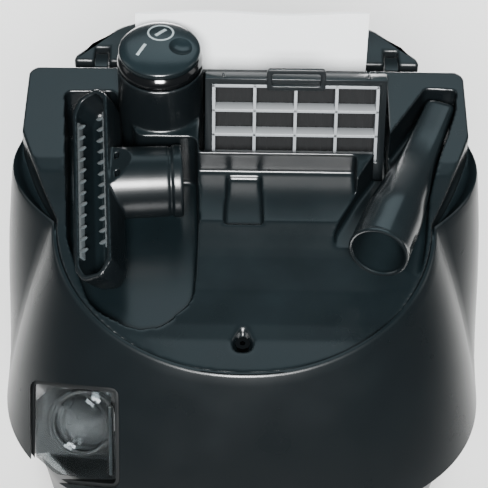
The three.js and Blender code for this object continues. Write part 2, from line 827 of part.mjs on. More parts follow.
function socketFlap() {
  const skin = cut(hoodBody(1, hoodBottomZ - 1, 1), hoodBody(1 + lidThickness, hoodBottomZ - 2, 1));
  const margin = socketWall + 1;
  const [w, h] = [socketWidth / 2 - margin, socketHeight / 2 - margin];
  const shape = rounded([[-w, -h + 2, 4], [w, -h + 2, 4], [w, h, 4], [-w + 13, h, 2], [-w, h - 11, 2]]);
  const floor = socketRecessDepth - socketWall - 1.5;
  const lid = common(skin, leaning(prism(shape, -floor, 40, 3)));
  const beyond = alongHinge(box(0.5, 20, -30, 30, -80, 80));
  const below = box(-hoodHalfWidth, 0, -200, 0, 0, plateTop + 2);
  const barrel = alongHinge(disc(lidBarrelRadius, -lidHalf, lidHalf, coarse));
  const bore = alongHinge(disc(1.5, -lidHalf - 1, lidHalf + 1, coarse));
  return cut(join(cut(lid, beyond), barrel), below, bore);
}

function flapPin() {
  return alongHinge(disc(1.2, -lidHalf - 0.7, lidHalf + 0.7, coarse));
}

// ---------------------------------------------------------------- carry handle
// Hinge line along X at y = 0, z = 0; folded back it points to +Y.

function mirrored(half) {
  return [...half, ...half.map(([x, y, radius]) => [-x, y, radius]).reverse()];
}

function carryHandle() {
  const w = handleHalfWidth;
  const outer = rounded(mirrored([
    [w, -5, 3], [w - 2, 2, 8], [w - 32, handleReach - 13, 26], [w - 62, handleReach, 40],
  ]));
  const hole = rounded(mirrored([
    [handleSlotHalf, -8, 1], [handleSlotHalf, 10, 10], [handleSlotHalf - 12, handleReach - handleGrip, 14],
  ]));
  const lugRooms = [-1, 1].map((side) => {
    const [near, far] = [handleLugX - moveGap, handleLugX + handleLugWidth + moveGap];
    return box(Math.min(side * near, side * far), Math.max(side * near, side * far), -10, 10.5, -10, 10);
  });
  return cut(
    prism(outer, -handleThickness / 2, handleThickness / 2),
    prism(hole, -handleThickness, handleThickness),
    ...lugRooms,
    ...[-1, 1].map((side) => handlePin(side, gap)),
  );
}

function handlePin(side, grow = 0) {
  const near = side * (handleLugX - 8 - grow);
  const far = side * (handleLugX + handleLugWidth + 8 + grow);
  return axisX(handlePinRadius + grow, near, far, 0, 0);
}

// ---------------------------------------------------------------- tank and chassis

function outlineRow(halfWidth, frontY, rearY, z) {
  return bodyOutline(halfWidth, frontY, rearY).map(([x, y]) => [x, y, z]);
}

function tank() {
  const outer = loft([
    outlineRow(tankBottomHalfWidth - 5, tankBottomFrontY + 5, tankRearY - 17, tankBottomZ),
    outlineRow(tankBottomHalfWidth, tankBottomFrontY, tankRearY - 12, tankBottomZ + 7),
    outlineRow(tankTopHalfWidth, tankTopFrontY, tankRearY, tankTopZ),
  ]);
  const inner = loft([
    outlineRow(tankBottomHalfWidth - tankWall, tankBottomFrontY + tankWall, tankRearY - 12 - tankWall,
      tankBottomZ + tankWall),
    outlineRow(tankTopHalfWidth - tankWall, tankTopFrontY + tankWall, tankRearY - tankWall, tankTopZ + 1),
  ]);
  const port = disc(portRadius - 4 + gap, 0, 160, medium).rotateX(Math.PI / 2).translate(portX, -60, portZ);
  const lugs = [];
  for (const side of [-1, 1]) {
    for (const end of [-1, 1]) {
      const y = latchY + end * (latchWidth / 2 + moveGap + 3.5);
      const [inX, outX] = [tankTopHalfWidth - 6, tankTopHalfWidth + latchOut + 5];
      const z = tankTopZ - latchPivotDrop;
      lugs.push(box(Math.min(side * inX, side * outX), Math.max(side * inX, side * outX),
        y - 3.5, y + 3.5, z - 6, z + 6));
    }
  }
  const pins = [-1, 1].map((side) => latchPin(gap)
    .translate(side * (tankTopHalfWidth + latchOut), latchY, tankTopZ - latchPivotDrop));
  return cut(join(outer, ...lugs), inner, ...pins, port);
}

function hosePort() {
  const tube = turned([
    [portBore, 0], [portRadius, 0], [portRadius, 16], [portRadius - 4, 16],
    [portRadius - 4, 44], [portBore, 44], [portBore, 0],
  ], medium);
  return tube.rotateX(-Math.PI / 2);
}

const chassisTopZ = tankBottomZ - gap;
const chassisBottomZ = chassisTopZ - chassisThickness;

function chassis() {
  const half = tankBottomHalfWidth + chassisMargin;
  const front = tankBottomFrontY - chassisMargin;
  const plate = loft([
    outlineRow(half - 6, front + 6, tankRearY - 6, chassisBottomZ),
    outlineRow(half, front, tankRearY, chassisBottomZ + 5),
    outlineRow(half, front, tankRearY, chassisTopZ),
  ]);
  const brackets = [-1, 1].map((side) => {
    const x = side * (rearWheelInnerX - 22);
    return box(x - 8, x + 8, rearWheelY - 26, rearWheelY - 6 + 16, rearWheelRadius - 12, chassisBottomZ + 6);
  });
  const bosses = [-1, 1].map((side) => disc(14, chassisBottomZ - 4, chassisBottomZ + 2, medium)
    .translate(side * castorX, castorY, 0));
  const stems = [-1, 1].map((side) => disc(6 + moveGap, chassisBottomZ - 6, chassisTopZ + 1, coarse)
    .translate(side * castorX, castorY, 0));
  return cut(
    join(plate, ...brackets, ...bosses),
    ...stems,
    axisX(axleRadius + gap, -rearWheelInnerX - 60, rearWheelInnerX + 60, rearWheelY, rearWheelRadius),
  );
}

function rearAxle() {
  const end = rearWheelInnerX + rearWheelWidth + 2;
  return axisX(axleRadius, -end, end, 0, 0);
}

// Wheels turn round their own Z here and are laid on their side when placed.
function tyre(radius, rim, width) {
  return turned([
    [rim, -width / 2], [radius - 4, -width / 2], [radius, -width / 2 + 5], [radius, width / 2 - 5],
    [radius - 4, width / 2], [rim, width / 2], [rim, -width / 2],
  ], fine);
}

function rearHub() {
  const rim = rearWheelRadius - 12 - gap;
  const w = rearWheelWidth / 2;
  const profile = [
    [axleRadius + moveGap, -w], [axleRadius + 7, -w], [axleRadius + 7, -3], [rim - 5, -3], [rim - 5, -w],
    [rim, -w], [rim, w], [rim - 5, w], [rim - 5, 3], [axleRadius + 7, 3], [axleRadius + 7, w - 2],
    [axleRadius + moveGap, w - 2], [axleRadius + moveGap, -w],
  ];
  const openings = [];
  for (let i = 0; i < 6; i += 1) {
    const spoke = disc(7, -4, 4, coarse).translate(25, 0, 0);
    openings.push(spoke.rotateZ((Math.PI / 3) * i));
  }
  return cut(turned(profile, fine), ...openings);
}

function castorWheel() {
  return turned([
    [3.4, -castorWidth / 2], [castorRadius - 2, -castorWidth / 2], [castorRadius, -castorWidth / 2 + 2],
    [castorRadius, castorWidth / 2 - 2], [castorRadius - 2, castorWidth / 2], [3.4, castorWidth / 2],
    [3.4, -castorWidth / 2],
  ], medium);
}

// Fork and stem, with the stem on Z through the origin and the wheel trailing to +Y.
const forkTop = chassisBottomZ - 4 - moveGap;

function castorFork() {
  const inside = castorWidth / 2 + moveGap;
  const outside = inside + 3;
  const cheek = (side) => box(
    side > 0 ? inside : -outside, side > 0 ? outside : -inside,
    castorTrail - 8, castorTrail + 8, castorRadius - 8, forkTop - 1,
  );
  const crown = box(-outside, outside, -10, castorTrail + 8, forkTop - 5, forkTop);
  const stem = disc(6, forkTop - 2, chassisTopZ - 1, coarse);
  return cut(
    join(crown, cheek(-1), cheek(1), stem),
    axisX(3 + gap, -outside - 1, outside + 1, castorTrail, castorRadius),
  );
}

// ---------------------------------------------------------------- inside the head

const gasketBottom = tankTopZ + gap;
const plateBottom = gasketBottom + gasketThickness + gap;
const plateTop = plateBottom + plateThickness;
const motorBottom = plateTop + gap;

function gasket() {
  const outer = shapeOf(bodyOutline(tankTopHalfWidth - 1, tankTopFrontY + 1, tankRearY - 1));
  const hole = new THREE.Path(
    bodyOutline(tankTopHalfWidth - 9, tankTopFrontY + 9, tankRearY - 9).map(([x, y]) => new THREE.Vector2(x, y)),
  );
  outer.holes.push(hole);
  return prism(outer, gasketBottom, gasketBottom + gasketThickness);
}

function headPlate() {
  const plate = prism(
    shapeOf(bodyOutline(
      hoodHalfWidth - plateMargin, hoodBottomFrontY + plateMargin, hoodRearY - plateMargin,
    )), plateBottom, plateTop,
  );
  const inlet = disc(floatSeatRadius, plateBottom - 1, plateTop + 1, medium).translate(0, motorY, 0);
  const seat = ring(filterRadius + 2, filterRadius + 5, plateBottom - 7, plateBottom + 1, medium);
  return cut(join(plate, seat.translate(0, motorY, 0)), inlet);
}

function motorCasing() {
  const r = motorRadius;
  const h = motorHeight;
  const shell = turned([
    [30, 0], [r, 0], [r, h - 8], [r - 8, h], [12, h], [12, h - 3], [r - 10, h - 3], [r - 3, h - 9],
    [r - 3, 3], [30, 3], [30, 0],
  ], fine);
  const vents = [];
  for (let i = 0; i < 8; i += 1) {
    const vent = box(r - 12, r + 2, -6, 6, 6, 18);
    vents.push(vent.rotateZ((Math.PI / 4) * i));
  }
  return cut(shell, ...vents);
}

function motorBracket() {
  return turned([[8.3, 26], [motorRadius - 3.6, 26], [motorRadius - 3.6, 29], [11, 29], [11, 34], [8.3, 34],
    [8.3, 26]], medium);
}

function stator() {
  return ring(23, 36, 36, 60, medium);
}

function rotor() {
  return turned([[0, 4], [3.6, 4], [3.6, 38], [21, 38], [21, 58], [3.6, 58], [3.6, motorHeight + 3],
    [0, motorHeight + 3]], medium);
}

function impeller() {
  const discs = join(
    ring(4.2, impellerRadius, 6, 8, medium),
    ring(4.2, 9, 6, 22, medium),
  );
  const blades = [];
  for (let i = 0; i < 7; i += 1) {
    const blade = box(8, impellerRadius - 2, -1, 1, 7.5, 20);
    blades.push(blade.rotateZ((2 * Math.PI * i) / 7));
  }
  return join(discs, ...blades);
}

function coolingFan() {
  const hub = ring(4.2, 8, 62, 69, coarse);
  const blades = [];
  for (let i = 0; i < 6; i += 1) {
    const blade = box(7, 30, -1, 1, 63, 68);
    blades.push(blade.rotateZ((Math.PI / 3) * i));
  }
  return join(hub, ...blades);
}

const filterTop = plateBottom - gap;
const filterBottom = filterTop - filterHeight;

// Pleated cartridge, as a star-shaped tube.
function cartridge() {
  const pleats = 18;
  const outer = [];
  const inner = [];
  for (let i = 0; i < pleats * 2; i += 1) {
    const turn = (Math.PI * i) / pleats;
    const deep = i % 2 ? 0 : 6;
    outer.push([(filterRadius - deep) * Math.cos(turn), (filterRadius - deep) * Math.sin(turn)]);
    inner.push(new THREE.Vector2(
      (filterRadius - 4 - deep) * Math.cos(turn), (filterRadius - 4 - deep) * Math.sin(turn),
    ));
  }
  const shape = shapeOf(outer);
  shape.holes.push(new THREE.Path(inner));
  return prism(shape, filterBottom, filterTop);
}

function filterCap() {
  const top = filterBottom - gap;
  return turned([[0, top - 5], [filterRadius + 1, top - 5], [filterRadius + 2, top], [10, top], [10, top + 8],
    [0, top + 8]], medium);
}

const cageBottom = filterTop - 56;

function floatCage() {
  const inner = floatRadius + moveGap + 0.6;
  const cage = turned([[0, cageBottom], [inner + 3, cageBottom], [inner + 3, filterTop], [inner, filterTop],
    [inner, cageBottom + 3], [0, cageBottom + 3]], medium);
  const windows = [];
  for (let i = 0; i < 4; i += 1) {
    const window = box(8, 30, -6, 6, cageBottom + 8, filterTop - 12);
    windows.push(window.rotateZ((Math.PI / 2) * i));
  }
  return cut(cage, ...windows);
}

function floatBall() {
  return new THREE.SphereGeometry(floatRadius, 14, 8);
}

// ---------------------------------------------------------------- hood fittings

function exhaustGrille() {
  const [w, h] = [grilleWidth / 2 - gap, grilleHeight / 2 - gap];
  const plate = box(-w, w, -4, 0, -h, h);
  const slots = [];
  const count = 6;
  for (let i = 0; i < count; i += 1) {
    const z = -h + ((i + 0.5) * 2 * h) / count;
    slots.push(box(-w + 5, w - 5, -5, 1, z - 1.7, z + 1.7));
  }
  return cut(plate, ...slots);
}

function cableGland() {
  const profile = [[3.6, -10], [8.6, -10], [8.6, 3], [13, 3], [13, 6], [8, 7], [5.5, 20], [3.6, 20], [3.6, -10]];
  return turned(profile, coarse).rotateX(-Math.PI / 2);
}

// Latch: hangs on a pin near its foot and hooks under the hood's edge.
function latch(side) {
  const hook = plateTop + gap - (tankTopZ - latchPivotDrop);
  const profile = [[-3.5, -6], [4, -6], [8, 10], [9, hook + 5], [-3, hook + 5], [-4, hook], [2, hook],
    [1.5, 16], [-3.5, 6]];
  const body = sweepX(profile, -latchWidth / 2, latchWidth / 2);
  body.rotateZ(-Math.PI / 2 * side);
  const hole = axisX(2.3, -latchWidth, latchWidth, 0, 0).rotateZ(Math.PI / 2);
  return cut(body, hole);
}

function latchPin(grow = 0) {
  const half = latchWidth / 2 + 5 + grow;
  return axisX(2 + grow, -half, half, 0, 0).rotateZ(Math.PI / 2);
}

// ---------------------------------------------------------------- assembly

const machine = new THREE.Group();
const rearReachY = handleHingeY + handleReach;
machine.position.y = -(hoodBottomFrontY + rearReachY) / 2;

function add(parent, name, geometry, material, position = [0, 0, 0], rotation = [0, 0, 0]) {
  const mesh = new THREE.Mesh(geometry, material);
  mesh.name = name;
  mesh.position.set(...position);
  mesh.rotation.set(...rotation.map(degrees));
  parent.add(mesh);
  return mesh;
}

function subgroup(position, rotation = [0, 0, 0], order = 'XYZ') {
  const group = new THREE.Group();
  group.position.set(...position);
  group.rotation.set(...rotation.map(degrees), order);
  machine.add(group);
  return group;
}

function addBase() {
  add(machine, 'chassis', chassis(), blackPlastic);
  add(machine, 'tank', tank(), blackPlastic);
  const share = (portZ - tankBottomZ) / tankHeight;
  const portY = THREE.MathUtils.lerp(tankBottomFrontY, tankTopFrontY, share) - portInset;
  add(machine, 'hose_port', hosePort(), blackPlastic, [portX, portY, portZ]);
  add(machine, 'rear_axle', rearAxle(), steel, [0, rearWheelY, rearWheelRadius]);
}

function addWheels() {
  for (const [side, label] of [[-1, 'left'], [1, 'right']]) {
    const x = side * (rearWheelInnerX + rearWheelWidth / 2);
    const wheel = subgroup([x, rearWheelY, rearWheelRadius], [0, 90 * side, 0]);
    add(wheel, `rear_tyre_${label}`, tyre(rearWheelRadius, rearWheelRadius - 12, rearWheelWidth), rubber);
    add(wheel, `rear_hub_${label}`, rearHub(), blackPlastic);
    const castor = subgroup([side * castorX, castorY, 0]);
    add(castor, `castor_fork_${label}`, castorFork(), blackPlastic);
    add(castor, `castor_wheel_${label}`, castorWheel(), rubber, [0, castorTrail, castorRadius], [0, 90, 0]);
    const axleEnd = castorWidth / 2 + moveGap + 3;
    add(castor, `castor_axle_${label}`, axisX(2.9, -axleEnd, axleEnd, 0, 0), steel, [0, castorTrail, castorRadius]);
  }
}

function addHead() {
  add(machine, 'tank_gasket', gasket(), rubber);
  add(machine, 'head_plate', headPlate(), blackPlastic);
  add(machine, 'hood', hood(), housing);
  add(machine, 'deck', deck(), housing);
  add(machine, 'deck_screw', deckScrew(), steel);
  add(machine, 'exhaust_grille', exhaustGrille(), blackPlastic, [0, hoodRearY - 1, grilleZ]);
  add(machine, 'cable_gland', cableGland(), rubber, [glandX, hoodRearY, glandZ]);
}

function addMotor() {
  const motor = subgroup([0, motorY, motorBottom]);
  add(motor, 'motor_casing', motorCasing(), blackPlastic);
  add(motor, 'motor_bracket', motorBracket(), steel);
  add(motor, 'stator', stator(), copper);
  add(motor, 'rotor', rotor(), steel);
  add(motor, 'impeller', impeller(), steel);
  add(motor, 'cooling_fan', coolingFan(), blackPlastic);
  add(motor, 'bearing_lower', ring(3.9, 8, 29.5, 34, coarse), steel);
  add(motor, 'bearing_upper', ring(3.9, 11.7, motorHeight - 3, motorHeight, coarse), steel);
  const filter = subgroup([0, motorY, 0]);
  add(filter, 'cartridge_filter', cartridge(), paper);
  add(filter, 'filter_cap', filterCap(), blackPlastic);
  add(filter, 'float_cage', floatCage(), greyPlastic);
  add(filter, 'float_ball', floatBall(), greyPlastic, [0, 0, cageBottom + 3 + gap + floatRadius]);
}

function addKnob() {
  const knob = subgroup([knobX, knobY, collarBottom]);
  add(knob, 'knob_collar', knobCollar(), glossBlack);
  add(knob, 'knob_cap', knobCap(), glossBlack, [0, 0, collarHeight + moveGap]);
  add(machine, 'switch_body', switchBody(), blackPlastic, [knobX, knobY, 0]);
}

function addCassette() {
  const foot = deckTopZ - wellDepth + moveGap + cassetteThickness * Math.sin(degrees(cassetteLean));
  const cassette = subgroup([cassetteX, wellFrontY + 2, foot], [-cassetteLean, 0, 0]);
  add(cassette, 'cassette_frame', cassetteFrame(), blackPlastic);
  add(cassette, 'cassette_grid', cassetteGrid(), greyPlastic);
  add(cassette, 'cassette_pleats', cassetteMedia(), paper);
  add(cassette, 'cassette_loop', cassetteLoop(), blackPlastic);
}

function addBag() {
  const bag = prism(rectangle(bagWidth, bagThickness, 2), 0, bagHeight);
  add(machine, 'paper_bag', bag, paper, [bagX, deckRearY + gap + 1 + bagThickness / 2, shoulderZ + gap]);
}

function addTools() {
  const brush = subgroup([brushX, 36, deckTopZ - 2], [8, -brushRoll, 4.2], 'ZXY');
  const lip = brushMouthWidth / 2 - brushLipWidth - 4.1;
  add(brush, 'upholstery_nozzle', brushBody(), blackPlastic);
  add(brush, 'lint_comb_right', lintComb(), blackPlastic, [lip, 0, 0]);
  add(brush, 'lint_comb_left', lintComb(), blackPlastic, [-lip, 0, 0]);
  const crevice = subgroup([creviceX, creviceY, deckTopZ], [-3, 0, -18.5], 'ZXY');
  add(crevice, 'crevice_nozzle', creviceNozzle(), blackPlastic);
}

function addSocket() {
  add(machine, 'socket_tray', socketTray(), blackPlastic);
  add(machine, 'power_outlet', leaning(outlet()), blackPlastic);
  add(machine, 'earth_clip_upper', leaning(earthClip(1)), steel);
  add(machine, 'earth_clip_lower', leaning(earthClip(-1)), steel);
  add(machine, 'socket_flap', socketFlap(), clearPlastic);
  add(machine, 'flap_pin', flapPin(), steel);
}

function addHandle() {
  const handle = subgroup([0, handleHingeY, handleHingeZ]);
  add(handle, 'carry_handle', carryHandle(), blackPlastic);
  add(handle, 'handle_pin_left', handlePin(-1), steel);
  add(handle, 'handle_pin_right', handlePin(1), steel);
}

function addLatches() {
  for (const [side, label] of [[-1, 'left'], [1, 'right']]) {
    const place = [side * (tankTopHalfWidth + latchOut), latchY, tankTopZ - latchPivotDrop];
    add(machine, `latch_${label}`, latch(side), blackPlastic, place);
    add(machine, `latch_pin_${label}`, latchPin(), steel, place);
  }
}

addBase();
addWheels();
addHead();
addMotor();
addKnob();
addCassette();
addBag();
addTools();
addSocket();
addHandle();
addLatches();

const group = new THREE.Group();
group.add(machine);
export default group;
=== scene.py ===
# %% [markdown]
# # Shop vacuum
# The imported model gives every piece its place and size. This lesson dresses it: smooth mouldings
# for the hood and deck, the tools parked in their pockets, and a node material for each surface.
# Shapes are written in millimetres and become metres when a mesh is made.

# %%
import json
import math

import bmesh
import bpy
from mathutils import Matrix, Vector


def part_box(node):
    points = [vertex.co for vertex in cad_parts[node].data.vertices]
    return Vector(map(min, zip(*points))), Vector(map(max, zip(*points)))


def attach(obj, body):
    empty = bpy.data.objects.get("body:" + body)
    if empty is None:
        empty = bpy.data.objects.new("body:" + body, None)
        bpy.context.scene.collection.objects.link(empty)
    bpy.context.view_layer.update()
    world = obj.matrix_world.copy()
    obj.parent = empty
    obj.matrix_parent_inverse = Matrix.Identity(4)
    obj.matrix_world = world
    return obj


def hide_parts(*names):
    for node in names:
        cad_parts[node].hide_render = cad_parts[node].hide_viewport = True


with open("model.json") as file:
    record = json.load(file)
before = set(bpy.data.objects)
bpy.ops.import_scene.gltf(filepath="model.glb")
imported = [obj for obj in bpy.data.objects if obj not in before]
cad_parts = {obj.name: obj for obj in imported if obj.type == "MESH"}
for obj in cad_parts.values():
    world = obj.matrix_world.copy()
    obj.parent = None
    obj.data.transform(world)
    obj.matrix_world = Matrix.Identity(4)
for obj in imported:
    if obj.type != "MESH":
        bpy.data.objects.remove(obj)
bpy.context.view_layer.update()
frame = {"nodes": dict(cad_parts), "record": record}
MM = 0.001
OUTLINE_SHIFT = -36.0      # the outline's middle line, behind which y is measured below

# %% [markdown]
# ## Camera and light
# The camera looks down on the front of the machine from 47 degrees, with a long lens.

# %%
LOOK_AT = Vector((0.0, -0.048, 0.410))
ELEVATION = math.radians(47)
ROLL = math.radians(0.8)
DISTANCE = 1.35
back = Vector((0, -math.cos(ELEVATION), math.sin(ELEVATION)))
level = Vector((1, 0, 0))
upright = Vector((0, math.sin(ELEVATION), math.cos(ELEVATION)))
across = level * math.cos(ROLL) + upright * math.sin(ROLL)
up = upright * math.cos(ROLL) - level * math.sin(ROLL)
camera_data = bpy.data.cameras.new("camera")
camera_data.sensor_width = 36
camera_data.lens = 149.76
camera = bpy.data.objects.new("camera", camera_data)
turn = Matrix((across, up, back)).transposed().to_4x4()
camera.matrix_world = Matrix.Translation(LOOK_AT + back * DISTANCE) @ turn
bpy.context.scene.collection.objects.link(camera)
bpy.context.scene.camera = camera


def area_light(name, place, target, size, power, cone=180, tint=(1, 1, 1)):
    data = bpy.data.lights.new(name, "AREA")
    data.shape = "RECTANGLE"
    data.size, data.size_y = size
    data.energy = power
    data.spread = math.radians(cone)
    data.color = tint
    lamp = bpy.data.objects.new(name, data)
    aim = (Vector(target) - Vector(place)).to_track_quat("-Z", "Y")
    lamp.matrix_world = Matrix.Translation(place) @ aim.to_matrix().to_4x4()
    bpy.context.scene.collection.objects.link(lamp)
    return lamp


area_light("sky_panel", (0.1, 1.5, 2.0), (0, 0, 0.4), (2.2, 1.1), 4.2, 120, (0.74, 0.92, 1.0))
area_light("side_panel", (-1.7, 0.3, 1.3), (0, 0, 0.35), (0.7, 1.4), 0.6, 90)
area_light("other_side_panel", (1.8, 0.2, 1.2), (0, 0, 0.35), (0.6, 1.2), 0.6, 90)
area_light("front_panel", (0.0, -1.9, 2.0), (0, 0.15, 0.35), (0.8, 0.6), 17, 45)
area_light("floor_panel", (0.0, 1.5, 0.24), (0, 0.3, 0), (2.4, 0.3), 16, 60)
world = bpy.data.worlds.new("studio")
world.use_nodes = True
world.node_tree.nodes["Background"].inputs["Color"].default_value = (0.9, 0.94, 1.0, 1)
world.node_tree.nodes["Background"].inputs["Strength"].default_value = 0.1
bpy.context.scene.world = world
print("camera at", [round(v, 3) for v in camera.location])

# %% [markdown]
# ## Materials
# One small helper adds a node, sets its constants and links its inputs. Colours are written as
# sRGB and turned into linear light by one function. Patterns are sized in millimetres.


# %%
def linear(hex_code):
    channels = [int(hex_code[i:i + 2], 16) / 255 for i in (1, 3, 5)]
    return tuple(c / 12.92 if c <= 0.04045 else ((c + 0.055) / 1.055) ** 2.4
                 for c in channels) + (1.0,)


def node(tree, kind, settings=None, **inputs):
    made = tree.nodes.new(kind)
    for key, value in (settings or {}).items():
        setattr(made, key, value)
    for key, value in inputs.items():
        target = made.inputs[key.replace("_", " ")]
        if isinstance(value, bpy.types.NodeSocket):
            tree.links.new(value, target)
        else:
            target.default_value = value
    return made


def per_mm(size):
    return 1000.0 / size


def new_material(name):
    made = bpy.data.materials.new(name)
    made.use_nodes = True
    tree = made.node_tree
    shader = tree.nodes["Principled BSDF"]
    place = node(tree, "ShaderNodeTexCoord").outputs["Object"]
    return made, tree, shader, place


def noise(tree, place, size_mm, detail=3.0):
    return node(tree, "ShaderNodeTexNoise", Vector=place, Scale=per_mm(size_mm), Detail=detail)


def spread(tree, value, low, high):
    spreader = node(tree, "ShaderNodeMapRange", None, Value=value, To_Min=low, To_Max=high)
    return spreader.outputs["Result"]


def blend_colours(tree, amount, first, second):
    mixed = node(tree, "ShaderNodeMix", {"data_type": "RGBA"})
    mixed.inputs[6].default_value = first
    mixed.inputs[7].default_value = second
    tree.links.new(amount, mixed.inputs[0])
    return mixed.outputs[2]


def moulded(name, shade, dust_and_top_light, roughness, grain_mm=0.8, grain_depth=0.03, coat=0.0):
    """Injection-moulded plastic: fine grain, cloudy gloss, a little dust and painted light on
    upward faces.
    """
    made, tree, shader, place = new_material(name)
    grain = noise(tree, place, grain_mm, 2.0)
    cloud = noise(tree, place, 38.0, 4.0)
    # Upward faces take the second colour in cloudy patches: partly dust, partly painted light for
    # tops that catch the sky.
    facing = node(tree, "ShaderNodeSeparateXYZ",
                  Vector=node(tree, "ShaderNodeNewGeometry").outputs["Normal"]).outputs["Z"]
    level_face = node(tree, "ShaderNodeMapRange", None, Value=facing, From_Min=0.3, From_Max=1.0)
    dust_and_top_light_share = node(tree, "ShaderNodeMath", {"operation": "MULTIPLY"})
    tree.links.new(level_face.outputs["Result"], dust_and_top_light_share.inputs[0])
    tree.links.new(spread(tree, cloud.outputs["Fac"], 0.1, 0.9), dust_and_top_light_share.inputs[1])
    colour = blend_colours(tree, dust_and_top_light_share.outputs["Value"], linear(shade), linear(dust_and_top_light))
    tree.links.new(colour, shader.inputs["Base Color"])
    rough = spread(tree, cloud.outputs["Fac"], roughness - 0.05, roughness + 0.07)
    tree.links.new(rough, shader.inputs["Roughness"])
    bump = node(tree, "ShaderNodeBump", Height=grain.outputs["Fac"], Strength=0.35,
                Distance=grain_depth * MM)
    tree.links.new(bump.outputs["Normal"], shader.inputs["Normal"])
    shader.inputs["IOR"].default_value = 1.5
    shader.inputs["Coat Weight"].default_value = coat
    shader.inputs["Coat Roughness"].default_value = 0.12
    return made


def rubber(name, shade):
    # Rubber's second colour also lies on upward faces: a little dust and painted light.
    made = moulded(name, shade, "#3b3b3a", 0.78, 1.4, 0.08)
    made.node_tree.nodes["Principled BSDF"].inputs["IOR"].default_value = 1.52
    return made


def metal(name, shade, roughness, brushed_mm=0.3):
    """Plated or bare metal with fine streaks along Z."""
    made, tree, shader, place = new_material(name)
    stretch = node(tree, "ShaderNodeMapping", Vector=place, Scale=(1, 1, 0.06))
    streak = noise(tree, stretch.outputs["Vector"], brushed_mm, 3.0)
    shader.inputs["Base Color"].default_value = linear(shade)
    shader.inputs["Metallic"].default_value = 1.0
    rough = spread(tree, streak.outputs["Fac"], roughness - 0.08, roughness + 0.1)
    tree.links.new(rough, shader.inputs["Roughness"])
    bump = node(tree, "ShaderNodeBump", Height=streak.outputs["Fac"], Strength=0.2,
                Distance=0.02 * MM)
    tree.links.new(bump.outputs["Normal"], shader.inputs["Normal"])
    return made


def paper(name, shade, fleck):
    """Uncoated filter paper: soft fibres and a faint crumple."""
    made, tree, shader, place = new_material(name)
    fibre = noise(tree, place, 1.1, 6.0)
    crumple = noise(tree, place, 22.0, 3.0)
    colour = blend_colours(tree, spread(tree, fibre.outputs["Fac"], 0.0, 0.8), linear(fleck),
                           linear(shade))
    tree.links.new(colour, shader.inputs["Base Color"])
    shader.inputs["Roughness"].default_value = 0.85
    shader.inputs["IOR"].default_value = 1.45
    heights = node(tree, "ShaderNodeMath", {"operation": "MULTIPLY_ADD"})
    tree.links.new(crumple.outputs["Fac"], heights.inputs[0])
    heights.inputs[1].default_value = 6.0
    tree.links.new(fibre.outputs["Fac"], heights.inputs[2])
    bump = node(tree, "ShaderNodeBump", Height=heights.outputs["Value"], Strength=0.4,
                Distance=0.12 * MM)
    tree.links.new(bump.outputs["Normal"], shader.inputs["Normal"])
    return made


def clear_plastic(name):
    """Smoked polycarbonate: thin, glossy, with faint handling haze."""
    made, tree, shader, place = new_material(name)
    haze = noise(tree, place, 9.0, 5.0)
    shader.inputs["Base Color"].default_value = linear("#8d9a9e")
    shader.inputs["Transmission Weight"].default_value = 1.0
    shader.inputs["IOR"].default_value = 1.2
    shader.inputs["Alpha"].default_value = 0.55
    rough = spread(tree, haze.outputs["Fac"], 0.03, 0.14)
    tree.links.new(rough, shader.inputs["Roughness"])
    return made


# The second colour of each moulding lies on its upward faces: a little dust and painted light.
LOOKS = {
    "body_plastic": moulded("abs_teal_black", "#090d0f", "#0e181b", 0.28),
    "handle_plastic": moulded("pp_handle_black", "#0b0f11", "#151f22", 0.38, 1.0, 0.05),
    "chassis_plastic": moulded("pp_black", "#0c0e0f", "#171b1c", 0.46, 1.2, 0.05),
    "tank_plastic": moulded("pp_tank_black", "#0b0f10", "#161e20", 0.4, 1.1, 0.05),
    "tyre_rubber": rubber("tyre_rubber", "#1b1b1b"),
    "hub_plastic": moulded("pp_hub_grey", "#30363a", "#454d50", 0.45, 1.0, 0.04),
    "seal_rubber": rubber("nitrile_seal", "#161616"),
    "steel": metal("zinc_plated_steel", "#b4b6b8", 0.32),
    "core_steel": metal("lamination_steel", "#6f6a66", 0.5, 0.6),
    "fan_metal": metal("pressed_aluminium", "#c3c5c8", 0.38),
    "fan_plastic": moulded("nylon_white", "#d9d7cf", "#e4e2da", 0.5),
    "filter_paper": paper("filter_paper", "#d9d6cb", "#b9b5a8"),
    # Near-black filter cloth: partly its own dark colour, partly painted shade so the cells behind
    # the grid look shadowed.
    "filter_foam": paper("filter_cloth_with_painted_shade", "#101214", "#0b0c0d"),
    "filter_cap_plastic": moulded("pp_cap_grey", "#3a3f42", "#4a5053", 0.5),
    "knob_gloss": moulded("abs_gloss_black", "#060708", "#0a0c0d", 0.1, 2.0, 0.004, 0.5),
    "knob_plastic": moulded("abs_knob_black", "#0c1214", "#1b282c", 0.24, 1.2, 0.01, 0.2),
    "grid_plastic": moulded("abs_grid_grey", "#83878a", "#989c9e", 0.42),
    "frame_plastic": moulded("abs_frame_black", "#0d1113", "#1b2528", 0.36),
    "bag_paper": paper("bag_paper", "#f6f8f9", "#e9edee"),
    "comb_rubber": rubber("comb_rubber", "#343c3f"),
    "tool_gloss": moulded("pp_tool_black", "#0b0f11", "#1a2427", 0.22, 1.6, 0.008, 0.25),
    "outlet_plastic": moulded("outlet_grey", "#0e1213", "#1a2022", 0.38),
    "clear_plastic": clear_plastic("smoked_polycarbonate"),
}
MARK_LIGHT = moulded("marking_paint", "#8d9a9d", "#a9b4b6", 0.4)
DARK_SCREW = metal("blackened_steel", "#1b1c1d", 0.4)
slot_of = {part["node"]: part["material_slot"] for part in frame["record"]["subparts"]}
for node_name, cad_object in frame["nodes"].items():
    cad_object.data.materials.clear()
    look = DARK_SCREW if node_name == "deck_screw" else LOOKS[slot_of[node_name]]
    cad_object.data.materials.append(look)
print(len(LOOKS), "materials on", len(slot_of), "nodes")

# %% [markdown]
# ## Mesh tools
# Small functions that make closed meshes from outlines and rows, cut them, and keep them. Every
# object stays at the origin, with its place in its mesh.


